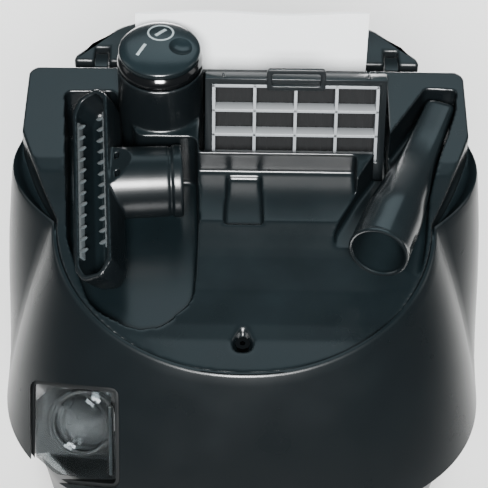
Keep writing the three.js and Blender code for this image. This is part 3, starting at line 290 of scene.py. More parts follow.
# %%
def make_object(name, corners, faces, look):
    data = bpy.data.meshes.new(name)
    data.from_pydata([tuple(v * MM for v in corner) for corner in corners], [], faces)
    work = bmesh.new()
    work.from_mesh(data)
    bmesh.ops.remove_doubles(work, verts=work.verts, dist=1e-7)
    bmesh.ops.recalc_face_normals(work, faces=work.faces)
    work.to_mesh(data)
    work.free()
    data.materials.append(look)
    made = bpy.data.objects.new(name, data)
    bpy.context.scene.collection.objects.link(made)
    return made


def loft(name, rows, look, cap=True, ring=False):
    """Joins closed rows of corners. `ring` joins the last row to the first."""
    count = len(rows[0])
    corners = [corner for row in rows for corner in row]
    faces = []
    for r in range(len(rows) if ring else len(rows) - 1):
        low, high = r * count, ((r + 1) % len(rows)) * count
        for i in range(count):
            j = (i + 1) % count
            faces.append((low + i, low + j, high + j, high + i))
    if cap and not ring:
        faces.append(tuple(range(count)))
        last = (len(rows) - 1) * count
        faces.append(tuple(range(last, last + count)))
    return make_object(name, corners, faces, look)


def prism(name, outline, low, high, look=None):
    return loft(name, [[(x, y, z) for x, y in outline] for z in (low, high)], look)


def sweep_x(name, profile, x0, x1, look=None):
    return loft(name, [[(x, y, z) for y, z in profile] for x in (x0, x1)], look)


def lathe(name, profile, look, steps=64, closed=False):
    """Turns (radius, height) pairs about Z. An open profile starts and ends on the axis."""
    rows = []
    for i in range(steps):
        angle = 2 * math.pi * i / steps
        rows.append([(r * math.cos(angle), r * math.sin(angle), z) for r, z in profile])
    count = len(profile)
    corners = [corner for row in rows for corner in row]
    faces = []
    for i in range(steps):
        low, high = i * count, ((i + 1) % steps) * count
        for k in range(count if closed else count - 1):
            n = (k + 1) % count
            faces.append((low + k, high + k, high + n, low + n))
    return make_object(name, corners, faces, look)


def moved(thing, matrix):
    thing.data.transform(matrix)
    thing.data.update()
    return thing


def place(x=0.0, y=0.0, z=0.0):
    return Matrix.Translation(Vector((x, y, z)) * MM)


def turned(degrees, axis):
    return Matrix.Rotation(math.radians(degrees), 4, axis)


def settle(thing):
    """Replaces an object's mesh by what its modifiers make of it."""
    graph = bpy.context.evaluated_depsgraph_get()
    result = bpy.data.meshes.new_from_object(thing.evaluated_get(graph))
    thing.modifiers.clear()
    thing.data = result
    return thing


def cut(thing, *tools, operation="DIFFERENCE"):
    for tool in tools:
        step = thing.modifiers.new("cut", "BOOLEAN")
        step.operation = operation
        step.solver = "EXACT"
        step.object = tool
    settle(thing)
    for tool in tools:
        bpy.data.objects.remove(tool)
    return thing


def join(thing, *others):
    return cut(thing, *others, operation="UNION")


def soften(thing, voxel_mm, passes=4):
    """Gives a cut solid the small even radii of a moulding."""
    remesh = thing.modifiers.new("remesh", "REMESH")
    remesh.mode = "VOXEL"
    remesh.voxel_size = voxel_mm * MM
    relax = thing.modifiers.new("relax", "SMOOTH")
    relax.factor = 0.5
    relax.iterations = passes
    return smooth(settle(thing))


def bevelled(thing, width_mm, segments=2, angle=32):
    bevel = thing.modifiers.new("bevel", "BEVEL")
    bevel.width = width_mm * MM
    bevel.segments = segments
    bevel.limit_method = "ANGLE"
    bevel.angle_limit = math.radians(angle)
    return smooth(settle(thing), 40)


def smooth(thing, angle=180):
    thing.data.shade_smooth()
    if angle < 180:
        thing.data.set_sharp_from_angle(angle=math.radians(angle))
    return thing


def keep(thing, body, slot_name, *nodes):
    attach(thing, body)
    if nodes:
        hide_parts(*nodes)
    if not thing.data.materials:
        thing.data.materials.append(LOOKS[slot_name])
    for index in range(len(thing.data.materials)):
        if thing.data.materials[index] is None:
            thing.data.materials[index] = LOOKS[slot_name]
    return thing


def copied(node_name, name):
    """A copy of a CAD node's mesh, welded, ready to be refined."""
    source = frame["nodes"][node_name]
    data = source.data.copy()
    data.materials.clear()
    data.materials.append(LOOKS[slot_of[node_name]])
    made = bpy.data.objects.new(name, data)
    bpy.context.scene.collection.objects.link(made)
    work = bmesh.new()
    work.from_mesh(data)
    bmesh.ops.remove_doubles(work, verts=work.verts, dist=2e-6)
    bmesh.ops.dissolve_limit(work, angle_limit=math.radians(1.0), verts=work.verts,
                             edges=work.edges)
    work.to_mesh(data)
    work.free()
    return made


# %% [markdown]
# ## Outlines
# The hood and deck share one family of outlines: straight at the back and sides, with a round nose.


# %%
def rounded(corners, steps=8):
    """Polygon of (x, y, radius) with its corners rounded."""
    points = []
    for i, (x, y, radius) in enumerate(corners):
        here = Vector((x, y))
        before = Vector(corners[i - 1][:2]) - here
        after = Vector(corners[(i + 1) % len(corners)][:2]) - here
        half = before.angle(after) / 2
        if half > math.radians(88):
            points.append((x, y))
            continue
        reach = min(radius / math.tan(half), before.length * 0.48, after.length * 0.48)
        radius = reach * math.tan(half)
        inward = (before.normalized() + after.normalized()).normalized()
        middle = here + inward * (radius / math.sin(half))
        start = here + before.normalized() * reach - middle
        sweep = start.angle_signed(here + after.normalized() * reach - middle)
        for k in range(steps + 1):
            angle = -sweep * k / steps
            points.append((
                middle.x + start.x * math.cos(angle) - start.y * math.sin(angle),
                middle.y + start.x * math.sin(angle) + start.y * math.cos(angle),
            ))
    return points


def rectangle(width, height, radius, x=0.0, y=0.0, steps=6):
    w, h = width / 2, height / 2
    return rounded([(x - w, y - h, radius), (x + w, y - h, radius), (x + w, y + h, radius),
                    (x - w, y + h, radius)], steps)


def outline(half_width, rear, corner, side_end, nose_half, nose, front, bow=0.0, square=1.0):
    side, around, bend = 14, 8, 44
    right = [((half_width - corner) * i / side, rear) for i in range(side)]
    for i in range(around + 1):
        angle = math.pi / 2 * (1 - i / around)
        right.append((half_width - corner + corner * math.cos(angle),
                      rear - corner + corner * math.sin(angle)))
    for i in range(1, side + 1):
        right.append((half_width, rear - corner + (side_end - rear + corner) * i / side))
    for i in range(1, side):
        share = i / side
        right.append((half_width + (nose_half - half_width) * share + bow * 4 * share * (1 - share),
                      side_end + (nose - side_end) * share))
    for i in range(bend + 1):
        angle = math.pi / 2 * i / bend
        across_nose = 0.0 if i == bend else math.cos(angle) ** square
        right.append((nose_half * across_nose, nose - (nose - front) * math.sin(angle) ** square))
    left = [(-x, y) for x, y in reversed(right[1:-1])]
    return list(reversed(right + left))


DECK_TOP = 420.0
LIP_DROP = 42.0
SHOULDER_DROP = 18.0
NOSE_MIDDLE = 14.0
LIP_FRONT = -95.0
WING_FRONT = 84.0
HOOD_BOTTOM = 270.0
HOOD_WALL = 3.5
SHOULDER = DECK_TOP - SHOULDER_DROP
LIP = DECK_TOP - LIP_DROP
HOOD_REAR = 163.0
SOCKET = (-113, -103, 316)
SOCKET_TILT = 45
KNOB_X, KNOB_Y = -59.7, 113
TURRET_RADIUS = 29.6
TURRET_TOP = DECK_TOP + 37
CASSETTE_X = 34
PORT_X, PORT_Z = 48, 196
TANK_TOP, TANK_FOOT = 262, 77


def deck_outline(grow=0.0):
    return outline(155 + grow, 150 + grow, 8 + grow, WING_FRONT, 127 + grow, NOSE_MIDDLE,
                   LIP_FRONT - grow, 2)


def body_outline(half_width, front, rear):
    return outline(half_width, rear, 34, 50, half_width, -20, front, 0, 0.87)


def slimmed(x, y):
    """The shoulder outside the deck is wide beside the finger grooves and narrow behind them."""
    share = min(max((y - 84) / 12, 0), 1)
    return (x - math.copysign(3.6, x) * share if abs(x) > 120 else x, y)


hood_top = [slimmed(x, y) for x, y in
            outline(160, HOOD_REAR, 20, WING_FRONT, 130, NOSE_MIDDLE, LIP_FRONT - 3, 12)]
hood_bottom = body_outline(167, -140, HOOD_REAR)


def hood_height(y):
    share = min(max((NOSE_MIDDLE - y) / (NOSE_MIDDLE - LIP_FRONT), 0), 1)
    return SHOULDER + (LIP - 1 - SHOULDER) * share


def hood_row(share, inset, drop, bottom=HOOD_BOTTOM):
    row = []
    for (bx, by), (tx, ty) in zip(hood_bottom, hood_top):
        x, y = bx + (tx - bx) * share, by + (ty - by) * share
        z = bottom + (hood_height(ty) - drop - bottom) * share
        reach = math.hypot(x, y) or 1
        swell = 3 * math.sin(math.pi * share) if y < 150 else 0
        scale = (reach + swell - inset) / reach
        row.append((x * scale, y * scale, z))
    return row


print(len(hood_top), "points round the hood")

# %% [markdown]
# ## Hood
# A closed strip swept round the outline: up the outside, over the shoulder, down the inside.

# %%
def finger_depth(y):
    """Depth of the crescent-shaped finger grooves beside the deck's wings."""
    return 8.0 * math.sin(math.pi * min(max((y - 6) / 88, 0), 1)) ** 0.7


def toward_deck(share, drop):
    """Row on the shoulder, `share` of the way from the hood's edge to the deck."""
    row = []
    for (x, y), (tx, ty) in zip(deck_outline(0.3), hood_top):
        depth = drop * finger_depth(ty)
        row.append((tx + (x - tx) * share, ty + (y - ty) * share, hood_height(ty) - depth))
    return row


rows = [hood_row(0, 1.2, 0), hood_row(0.006, 0.2, 0)]
rows += [hood_row(share / 14, 0, 0) for share in range(1, 14)]
rows += [hood_row(0.985, 0.1, 0), hood_row(0.997, 0.5, 0), hood_row(1.0, 1.4, 0)]
rows += [toward_deck(0.3, 0.15), toward_deck(0.5, 0.7), toward_deck(0.75, 1.0),
         toward_deck(1.0, 1.0)]
rows += [[(x, y, z - HOOD_WALL) for x, y, z in toward_deck(1.0, 1.0)]]
rows += [hood_row(1 - share / 10, HOOD_WALL, HOOD_WALL) for share in range(11)]
hood = loft("hood_shell", rows, LOOKS["body_plastic"], ring=True)


def leaning(thing):
    """From the socket's own flat frame to its place in the hood's front."""
    return moved(thing, place(*SOCKET) @ turned(SOCKET_TILT, "X"))


recess = leaning(prism("recess", rectangle(63.6, 70.6, 6.3), -46.3, 60))
grille_hole = prism("grille_hole", [(-48, 151), (48, 151), (48, 175), (-48, 175)], 300, 344)
gland_hole = moved(lathe("gland_hole", [(0, -16), (9, -16), (9, 16), (0, 16)], None, 32),
                   place(-110, 163, 300) @ turned(90, "X"))
windows = []
for side in (-1, 1):
    x0, x1 = sorted((side * 153, side * 181))
    windows.append(prism("window", [(x0, -4), (x1, -4), (x1, 44), (x0, 44)], 268, 286))
cut(hood, recess, grille_hole, gland_hole, *windows)
lugs = []
for side in (-1, 1):
    x0, x1 = sorted((side * 100, side * 109))
    profile = [(155, 388), (172, 403), (172.5, 410), (171, 414), (168, 416), (155, 416)]
    lugs.append(sweep_x("lug", profile, x0, x1))
join(hood, *lugs)
moved(hood, place(0, OUTLINE_SHIFT, 0))
keep(smooth(hood, 38), "housing", "body_plastic", "hood")
print("hood", len(hood.data.polygons), "faces")

# %% [markdown]
# ## Deck
# One block with its pockets cut out, then softened so that each edge has a small moulded radius.


# %%
def brush_pocket():
    return rounded([(-128, 124, 4), (-93, 125, 4), (-75, 80, 8), (-34, 80, 6), (-31, 20, 20),
                    (-33, -36, 26), (-62, -67, 30), (-101, -50, 26), (-119, 0, 20)], 12)


def nozzle_pocket():
    return rounded([(127, 132, 3), (149, 131, 3), (147, 110, 8), (140, 84, 12), (133, 62, 14),
                    (125.5, 32, 16), (123, 4, 16), (116, -38, 26), (89, -64, 26), (62, -46, 24),
                    (61, 10, 16), (77, 44, 12)], 12)


top = DECK_TOP + 40
FALL = [(58, 0), (46, -2), (34, -7), (10, -16), (-40, -30), (-140, -53)]
BASIN = [(17, -18), (9, -22), (-4, -28), (-30, -37), (-62, -43), (-101, -44), (-140, -44)]


def height_on(profile, y):
    for (y0, z0), (y1, z1) in zip(profile, profile[1:]):
        if y0 >= y >= y1:
            return z0 + (z1 - z0) * (y0 - y) / (y0 - y1)
    return profile[0][1] if y > profile[0][0] else profile[-1][1]


def basin_rows():
    """Bowl in front of the shelf: level in the middle, rising to the wings at both sides."""
    rows = []
    for y in [17, 14, 11, 8, 5, 2, -1, -6, -12, -20, -30, -42, -55, -68, -82, -101, -130]:
        middle, side = height_on(BASIN, y), height_on(FALL, y)
        row = [(-150, y, top), (-150, y, DECK_TOP + side + 0.4)]
        for i in range(41):
            x = -140 + 280 * i / 40
            reach = (-36 - x) / 74 if x < -36 else (x - 76) / 46 if x > 76 else 0
            reach = min(max(reach, 0), 1)
            share = reach * reach * (3 - 2 * reach)
            row.append((x, y, DECK_TOP + middle + (side + 0.4 - middle) * share))
        row += [(150, y, DECK_TOP + side + 0.4), (150, y, top)]
        rows.append(row)
    return rows


deck = prism("deck_tray", deck_outline(), DECK_TOP - 50, DECK_TOP, LOOKS["body_plastic"])
fall = sweep_x("fall", [(58, top), (58, DECK_TOP), (46, DECK_TOP - 2), (34, DECK_TOP - 7),
                        (10, SHOULDER + 2), (-40, LIP + 12), (-135, LIP - 10), (-135, top)],
               -200, 200)
basin = loft("basin", basin_rows(), None)
shelf = prism("shelf", [(-36, 16), (76, 16), (76, 64), (-36, 64)], DECK_TOP - 18, top)
well = prism("well", rectangle(132, 80, 3, CASSETTE_X, 106), DECK_TOP - 41, top)
brush_hollow = prism("brush_hollow", brush_pocket(), DECK_TOP - 46, top)
nozzle_hollow = prism("nozzle_hollow", nozzle_pocket(), DECK_TOP - 26, top)
cut(deck, fall, shelf, basin, brush_hollow, nozzle_hollow, well)
turret = moved(lathe("turret", [(0, DECK_TOP - 49), (TURRET_RADIUS, DECK_TOP - 49),
                                (TURRET_RADIUS, TURRET_TOP), (0, TURRET_TOP)], None, 96),
               place(KNOB_X, KNOB_Y, 0))
join(deck, turret)
notch = prism("notch", [(-14, 15), (13, 15), (11, 60), (-12, 60)], DECK_TOP - 21.5, DECK_TOP)
drop = lathe("screw_drop", [(0, DECK_TOP - 48), (6, DECK_TOP - 48), (6, DECK_TOP), (0, DECK_TOP)],
             None, 32)
tear = loft("tear", [[(x * grow, -69 + (y + 69) * grow, z) for x, y in
                      rounded([(-6.5, -78, 6), (6.5, -78, 6), (7.5, -68, 6), (0, -54, 3),
                               (-7.5, -68, 6)])]
                     for grow, z in ((0.72, DECK_TOP - 47.4), (0.86, DECK_TOP - 44.6),
                                     (1.0, DECK_TOP - 43), (1.05, DECK_TOP))], None)
cut(deck, notch, moved(drop, place(0, -69, 0)), tear)
soften(deck, 1.3, 5)
work = bmesh.new()
work.from_mesh(deck.data)
hidden = [v for v in work.verts if v.co.z < (DECK_TOP - 48.5) * MM]
bmesh.ops.delete(work, geom=hidden, context="VERTS")
work.to_mesh(deck.data)
work.free()
moved(deck, place(0, OUTLINE_SHIFT, 0))
keep(smooth(deck), "housing", "body_plastic", "deck")
print("deck", len(deck.data.polygons), "faces")

# %% [markdown]
# ## Repeated things
# Two node groups repeat a small piece: one along a line, one round a circle. Every input is named,
# the seed is fixed, and the result is turned into a plain mesh straight away.


# %%
def repeat_group(name, circular):
    tree = bpy.data.node_groups.new(name, "GeometryNodeTree")
    face = tree.interface
    sockets = {}
    kinds = [("Piece", "NodeSocketObject"), ("Count", "NodeSocketInt"),
             ("Start", "NodeSocketVector"), ("Step", "NodeSocketVector"),
             ("Radius", "NodeSocketFloat"), ("Jitter", "NodeSocketFloat"),
             ("Seed", "NodeSocketInt"), ("Look", "NodeSocketMaterial")]
    for label, kind in kinds:
        sockets[label] = face.new_socket(label, in_out="INPUT", socket_type=kind).identifier
    face.new_socket("Mesh", in_out="OUTPUT", socket_type="NodeSocketGeometry")
    given = tree.nodes.new("NodeGroupInput").outputs
    info = node(tree, "GeometryNodeObjectInfo")
    tree.links.new(given["Piece"], info.inputs["Object"])
    wobble = node(tree, "FunctionNodeRandomValue", {"data_type": "FLOAT"})
    low = node(tree, "ShaderNodeMath", {"operation": "SUBTRACT"}, Value=1.0)
    tree.links.new(given["Jitter"], low.inputs[1])
    tree.links.new(low.outputs[0], wobble.inputs[2])
    wobble.inputs[3].default_value = 1.0
    tree.links.new(given["Seed"], wobble.inputs["Seed"])
    spots = node(tree, "GeometryNodeInstanceOnPoints")
    if circular:
        line = node(tree, "GeometryNodeMeshCircle")
        tree.links.new(given["Count"], line.inputs["Vertices"])
        tree.links.new(given["Radius"], line.inputs["Radius"])
        order = node(tree, "GeometryNodeInputIndex").outputs["Index"]
        part = node(tree, "ShaderNodeMath", {"operation": "DIVIDE"})
        tree.links.new(order, part.inputs[0])
        tree.links.new(given["Count"], part.inputs[1])
        whole = node(tree, "ShaderNodeMath", {"operation": "MULTIPLY"})
        tree.links.new(part.outputs[0], whole.inputs[0])
        whole.inputs[1].default_value = 2 * math.pi
        spin = node(tree, "ShaderNodeCombineXYZ", Z=whole.outputs[0])
        tree.links.new(spin.outputs[0], spots.inputs["Rotation"])
    else:
        line = node(tree, "GeometryNodeMeshLine")
        tree.links.new(given["Count"], line.inputs["Count"])
        tree.links.new(given["Start"], line.inputs["Start Location"])
        tree.links.new(given["Step"], line.inputs["Offset"])
    tree.links.new(line.outputs["Mesh"], spots.inputs["Points"])
    tree.links.new(info.outputs["Geometry"], spots.inputs["Instance"])
    tree.links.new(wobble.outputs[1], spots.inputs["Scale"])
    real = node(tree, "GeometryNodeRealizeInstances", Geometry=spots.outputs["Instances"])
    painted = node(tree, "GeometryNodeSetMaterial", Geometry=real.outputs["Geometry"])
    tree.links.new(given["Look"], painted.inputs["Material"])
    result = tree.nodes.new("NodeGroupOutput")
    tree.links.new(painted.outputs["Geometry"], result.inputs["Mesh"])
    return tree, sockets


ROW = repeat_group("row_of_pieces", False)
RING = repeat_group("ring_of_pieces", True)


def repeated(group, name, piece, look, count, start=(0, 0, 0), step=(0, 0, 0), radius=0.0,
             jitter=0.0):
    """Copies of `piece` along a line or round a circle, as one plain mesh. Lengths are in mm."""
    tree, sockets = group
    holder = bpy.data.objects.new(name, bpy.data.meshes.new(name))
    bpy.context.scene.collection.objects.link(holder)
    modifier = holder.modifiers.new("repeat", "NODES")
    modifier.node_group = tree
    values = {"Piece": piece, "Count": count, "Start": [v * MM for v in start],
              "Step": [v * MM for v in step], "Radius": radius * MM, "Jitter": jitter, "Seed": 7,
              "Look": look}
    for label, value in values.items():
        modifier[sockets[label]] = value
    holder.update_tag()
    bpy.context.view_layer.update()
    settle(holder)
    bpy.data.objects.remove(piece)
    return holder


def merged(name, *parts):
    """Several meshes as one object, without cutting them."""
    work = bmesh.new()
    looks = []
    for part in parts:
        first = len(work.faces)
        work.from_mesh(part.data)
        work.faces.ensure_lookup_table()
        look = part.data.materials[0] if part.data.materials else None
        if look not in looks:
            looks.append(look)
        for face in work.faces[first:]:
            face.material_index = looks.index(look)
    data = bpy.data.meshes.new(name)
    work.to_mesh(data)
    work.free()
    for look in looks:
        data.materials.append(look)
    for part in parts:
        bpy.data.objects.remove(part)
    made = bpy.data.objects.new(name, data)
    bpy.context.scene.collection.objects.link(made)
    return made


def block(name, low, high, look=None):
    (x0, y0, z0), (x1, y1, z1) = low, high
    return prism(name, [(x0, y0), (x1, y0), (x1, y1), (x0, y1)], z0, z1, look)


print("node groups", len(ROW[1]), "inputs each")

# %% [markdown]
# ## Knob
# A glossy collar and a domed cap with a finger dimple, a bar mark and a ringed bar mark.

# %%
KNOB = place(KNOB_X, KNOB_Y + OUTLINE_SHIFT, 0)
collar = lathe("switch_collar", [(16, 457.4), (29.0, 457.4), (29.6, 458.2), (29.6, 461.4),
                                 (28.6, 463.6), (26.8, 465.6), (16, 465.6)],
               LOOKS["knob_gloss"], 96, closed=True)
keep(smooth(moved(collar, KNOB), 40), "housing", "knob_gloss", "knob_collar")
RIM_TOP, DOME_RISE, CAP_RADIUS = 470.0, 5.6, 28.2
dome = [(0, 466.5), (27.2, 466.5), (28.2, 467.2), (28.4, 468.6), (CAP_RADIUS, RIM_TOP)]
dome += [(CAP_RADIUS * math.cos(a), RIM_TOP + DOME_RISE * math.sin(a)) for a in
         [math.pi / 2 * i / 14 for i in range(1, 14)]] + [(0, RIM_TOP + DOME_RISE)]
cap = lathe("knob_dome", dome, LOOKS["knob_plastic"], 96)
dimple = moved(lathe("dimple", [(14.5 * math.sin(a), -14.5 * math.cos(a)) for a in
                                [math.pi * i / 24 for i in range(25)]], None, 48),
               place(16.2, -1.5, 486.2))
cut(cap, dimple)
soften(cap, 0.45, 2)


def dome_height(x, y):
    reach = min(math.hypot(x, y) / CAP_RADIUS, 0.999)
    return RIM_TOP + DOME_RISE * math.sqrt(1 - reach * reach)


def mark(name, points, closed_path, width):
    """Flat raised mark that follows the dome."""
    rows = []
    count = len(points)
    for i, (x, y) in enumerate(points):
        after = points[(i + 1) % count] if closed_path or i < count - 1 else points[i]
        before = points[i - 1] if closed_path or i else points[i]
        along = Vector((after[0] - before[0], after[1] - before[1])).normalized()
        side = Vector((-along.y, along.x)) * width / 2
        row = []
        for share, lift in ((-1, -0.3), (-1, 0.12), (1, 0.12), (1, -0.3)):
            px, py = x + side.x * share, y + side.y * share
            row.append((px, py, dome_height(px, py) + lift))
        rows.append(row)
    return loft(name, rows, MARK_LIGHT, ring=closed_path)


circle = [(0.4 + 8.6 * math.cos(a), 12.2 + 8.6 * math.sin(a)) for a in
          [2 * math.pi * i / 48 for i in range(48)]]
bar_in = [(0.4 + s * 3.4, 12.2 + s * 3.6) for s in (-1, -0.5, 0, 0.5, 1)]
bar_out = [(-12.2 + s * 2.6, -5.5 + s * 5.2) for s in (-1, -0.5, 0, 0.5, 1)]
marks = merged("knob_marks", mark("mark_ring", circle, True, 1.3),
               mark("mark_in", bar_in, False, 2.4), mark("mark_out", bar_out, False, 2.2))
keep(smooth(moved(cap, KNOB)), "knob", "knob_plastic", "knob_cap")
keep(smooth(moved(marks, KNOB), 40), "knob", "knob_plastic")
print("knob", len(cap.data.polygons), "faces")

# %% [markdown]
# ## Filter cassette and paper bag
# The grid's plates are repeated by the row group. The bag is a folded sheet with soft creases.

# %%
CASSETTE = place(CASSETTE_X, 68 + OUTLINE_SHIFT, 384.3) @ turned(-15, "X")
box_low, box_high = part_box("cassette_frame")
print("cassette from", [round(v, 3) for v in box_low], "to", [round(v, 3) for v in box_high])
grid_width, grid_height, bar = 114.4, 58.9, 2.2
low_z = 20.3
upright_bar = block("upright_bar", (-bar / 2, 0.4, 0), (bar / 2, 11, grid_height))
level_bar = block("level_bar", (-grid_width / 2, 0.4, -bar / 2), (grid_width / 2, 11, bar / 2))
pitch_x = (grid_width - bar) / 4
pitch_z = (grid_height - bar) / 3
uprights = repeated(ROW, "uprights", upright_bar, LOOKS["grid_plastic"], 5,
                    (-grid_width / 2 + bar / 2, 0, low_z), (pitch_x, 0, 0))
levels = repeated(ROW, "levels", level_bar, LOOKS["grid_plastic"], 4, (0, 0, low_z + bar / 2),
                  (0, 0, pitch_z))
grid = bevelled(merged("cassette_bars", uprights, levels), 0.3)
keep(moved(grid, CASSETTE), "cassette", "grid_plastic", "cassette_grid")
rim = bevelled(copied("cassette_frame", "cassette_rim"), 0.7)
keep(rim, "cassette", "frame_plastic", "cassette_frame")
loop = bevelled(copied("cassette_loop", "cassette_pull"), 0.6, 3)
keep(loop, "cassette", "frame_plastic", "cassette_loop")

low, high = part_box("paper_bag")
columns, levels_up = 90, 40


def crease(x, z):
    """Soft folds and buckles of a bag that has been flat in its packet."""
    fold = 0.5 * math.sin(x * 31 + z * 9) + 0.4 * math.sin(x * 67 - z * 41) * math.sin(z * 23)
    sharp = max(0.0, 1 - abs((x + 0.03 + z * 0.12) / 0.012)) - max(0.0, 1 - abs((x - 0.055) / 0.01))
    return fold * 0.6 + sharp * 0.5


bag_corners, bag_faces = [], []
for layer in (0, 1):
    for k in range(levels_up + 1):
        for i in range(columns + 1):
            x = low.x + (high.x - low.x) * i / columns
            z = low.z + (high.z - low.z) * k / levels_up
            edge = min(i, columns - i, 4) / 4
            up_share = k / levels_up
            dip = 0.0011 * (1 + math.sin(x * 61)) * (up_share ** 6)
            half = (0.0006 + 0.0011 * edge * (1 - 0.5 * up_share)) * (1 if layer else -1)
            y = (low.y + high.y) / 2 + half + crease(x, z - low.z) * 0.0007
            bag_corners.append((x / MM, y / MM, (z - dip) / MM))
width = columns + 1
layer_size = width * (levels_up + 1)
for k in range(levels_up):
    for i in range(columns):
        a = k * width + i
        bag_faces.append((a, a + 1, a + 1 + width, a + width))
        bag_faces.append((a + layer_size, a + width + layer_size, a + 1 + width + layer_size,
                          a + 1 + layer_size))
border = list(range(columns)) + [columns + k * width for k in range(levels_up)]
border += [levels_up * width + i for i in range(columns, 0, -1)]
border += [k * width for k in range(levels_up, 0, -1)]
for a, b in zip(border, border[1:] + border[:1]):
    bag_faces.append((a, a + layer_size, b + layer_size, b))
bag = make_object("folded_bag", bag_corners, bag_faces, LOOKS["bag_paper"])
keep(smooth(bag, 50), "bag", "bag_paper", "paper_bag")
print("bag", len(bag.data.polygons), "faces")

# %% [markdown]
# ## Crevice nozzle
# Rows run from the round socket to the flat tip. Catmull-Rom steps between the main rows keep the
# taper smooth, and the inner wall returns to the socket.


# %%
def between(keys, steps):
    """Catmull-Rom points through a list of equal-length tuples."""
    result = []
    for i in range(len(keys) - 1):
        p0, p1, p2 = keys[max(i - 1, 0)], keys[i], keys[i + 1]
        p3 = keys[min(i + 2, len(keys) - 1)]
        for k in range(steps):
            t = k / steps
            result.append(tuple(
                0.5 * (2 * b + (c - a) * t + (2 * a - 5 * b + 4 * c - d) * t * t
                       + (3 * b - a - 3 * c + d) * t ** 3)
                for a, b, c, d in zip(p0, p1, p2, p3)))
    result.append(keys[-1])
    return result


def oval(y, half_x, half_z, power, count=72):
    row = []
    for i in range(count):
        c, s = math.cos(2 * math.pi * i / count), math.sin(2 * math.pi * i / count)
        row.append((half_x * math.copysign(abs(c) ** power, c), y,
                    half_z * math.copysign(abs(s) ** power, s)))
    return row


TAPER = between([(3, 20.2, 20.2, 1), (20, 20.0, 20.0, 1), (40, 19.6, 19.4, 1),
                 (62, 17.0, 15.6, 0.95), (95, 13.2, 9.2, 0.78), (126, 11.4, 7.4, 0.62),
                 (156, 10.4, 6.4, 0.55)], 6)
lip_rows = [(1.2, 17.8, 17.8, 1), (0.3, 18.4, 18.4, 1), (0, 19.4, 19.4, 1), (0.4, 20.3, 20.3, 1),
            (1.2, 20.5, 20.5, 1), (2.4, 20.4, 20.4, 1)]
outer = [oval(*row) for row in lip_rows + TAPER]
tip = [oval(156.8, 9.9, 5.9, 0.55), oval(156.8, 8.9, 4.9, 0.55)]
inner = [oval(y, a - 2, b - 2, p) for y, a, b, p in reversed(TAPER)]
nozzle = loft("crevice_tube", outer + tip + inner, LOOKS["tool_gloss"], ring=True)
grips = []
for side in (-1, 1):
    x0, x1 = sorted((side * 19.2, side * 26))
    pad = bevelled(block("pad", (x0, 5, -7), (x1, 24, 7)), 1.5)
    grips.append(pad)
cut(nozzle, *grips)
CREVICE = place(88, -28 + OUTLINE_SHIFT, 420) @ turned(-18.5, "Z") @ turned(-3, "X")
keep(smooth(moved(nozzle, CREVICE), 35), "crevice_tool", "tool_gloss", "crevice_nozzle")
print("crevice nozzle", len(nozzle.data.polygons), "faces")

# %% [markdown]
# ## Upholstery nozzle
# The head is a long boat with its mouth upwards. The neck leaves its back, cut off flat where it
# meets the lip. Two rows of hooked teeth stand inside the lip.

# %%
BRUSH = (place(-104.5, 36 + OUTLINE_SHIFT, 418) @ turned(4.2, "Z") @ turned(8, "X")
         @ turned(-33, "Y"))


def boat(inset, z, steps=5):
    """Outline of the head at one height: blunt ends, cut back a little on the inner side."""
    w, half = 14.5 - inset, 79 - inset
    return [(x, y, z) for x, y in rounded([(w, -half + 9, 6), (w, half - 9, 6), (w * 0.45, half, 5),
                                           (-w * 0.6, half - 2, 6), (-w, half - 12, 6),
                                           (-w, -half + 12, 6), (-w * 0.6, -half + 2, 6),
                                           (w * 0.45, -half, 5)], steps)]


head = loft("upholstery_head", [boat(9, -28), boat(5.6, -27), boat(2.4, -20), boat(0.8, -11),
                                boat(0, -3), boat(0, 0)], LOOKS["body_plastic"])
mouth = loft("mouth", [boat(9, -22), boat(5.4, -17), boat(3.4, -5), boat(3.0, 1)], None)
neck = lathe("neck", [(0, 4), (24.9, 4), (24.6, 30), (24.2, 45), (23.3, 46), (23.3, 47.4),
                      (24.9, 48.4), (24.9, 53.6), (24.2, 55), (0, 55)], LOOKS["body_plastic"], 72)
neck_bore = lathe("neck_bore", [(0, 22), (21.6, 22), (22.2, 56), (0, 56)], None, 72)
NECK = place(0, 7, -14) @ turned(123, "Y")
moved(neck, BRUSH @ NECK)
moved(neck_bore, BRUSH @ NECK)
moved(head, BRUSH)
moved(mouth, BRUSH)
slope = sweep_x("slope", [(-60, 0), (60, 0), (60, 60), (-60, 60)], -60, 60)
moved(slope, place(-92, 43 + OUTLINE_SHIFT, 425.2) @ turned(4.2, "Z") @ turned(-24, "Y"))
cut(neck, slope)
join(head, neck)
slots = [moved(block("slot", (-1.6, y - 3, -6), (1.6, y + 3, 6)),
               place(-87, 45 + OUTLINE_SHIFT, 427) @ turned(4.2, "Z")) for y in (-9, 8)]
cut(head, mouth, neck_bore, *slots)
soften(head, 0.8, 2)
keep(smooth(head), "brush_tool", "body_plastic", "upholstery_nozzle")
for side, label in ((1, "right"), (-1, "left")):
    x = side * 10.6
    hook = prism("hook", [(0, -1.3), (-side * 3.6, -1.5), (-side * 5.6, -0.6), (-side * 6.2, 0.4),
                          (-side * 3.4, 1.3), (0, 1.3)], -0.9, 0.8, LOOKS["comb_rubber"])
    teeth = repeated(ROW, "teeth", hook, LOOKS["comb_rubber"], 12, (x, -52.3, -1.6), (0, 9.5, 0), 0,
                     0.12)
    strip = block("strip", (x - 0.9, -57, -6), (x + 0.9, 57, -1.2), LOOKS["comb_rubber"])
    comb = bevelled(merged("comb_" + label, strip, teeth), 0.3)
    keep(moved(comb, BRUSH), "brush_tool", "comb_rubber", "lint_comb_" + label)
print("upholstery nozzle", len(head.data.polygons), "faces")

# %% [markdown]
# ## Power outlet and its lid
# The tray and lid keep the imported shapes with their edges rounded. The outlet gets its own cup,
# face and contact holes.

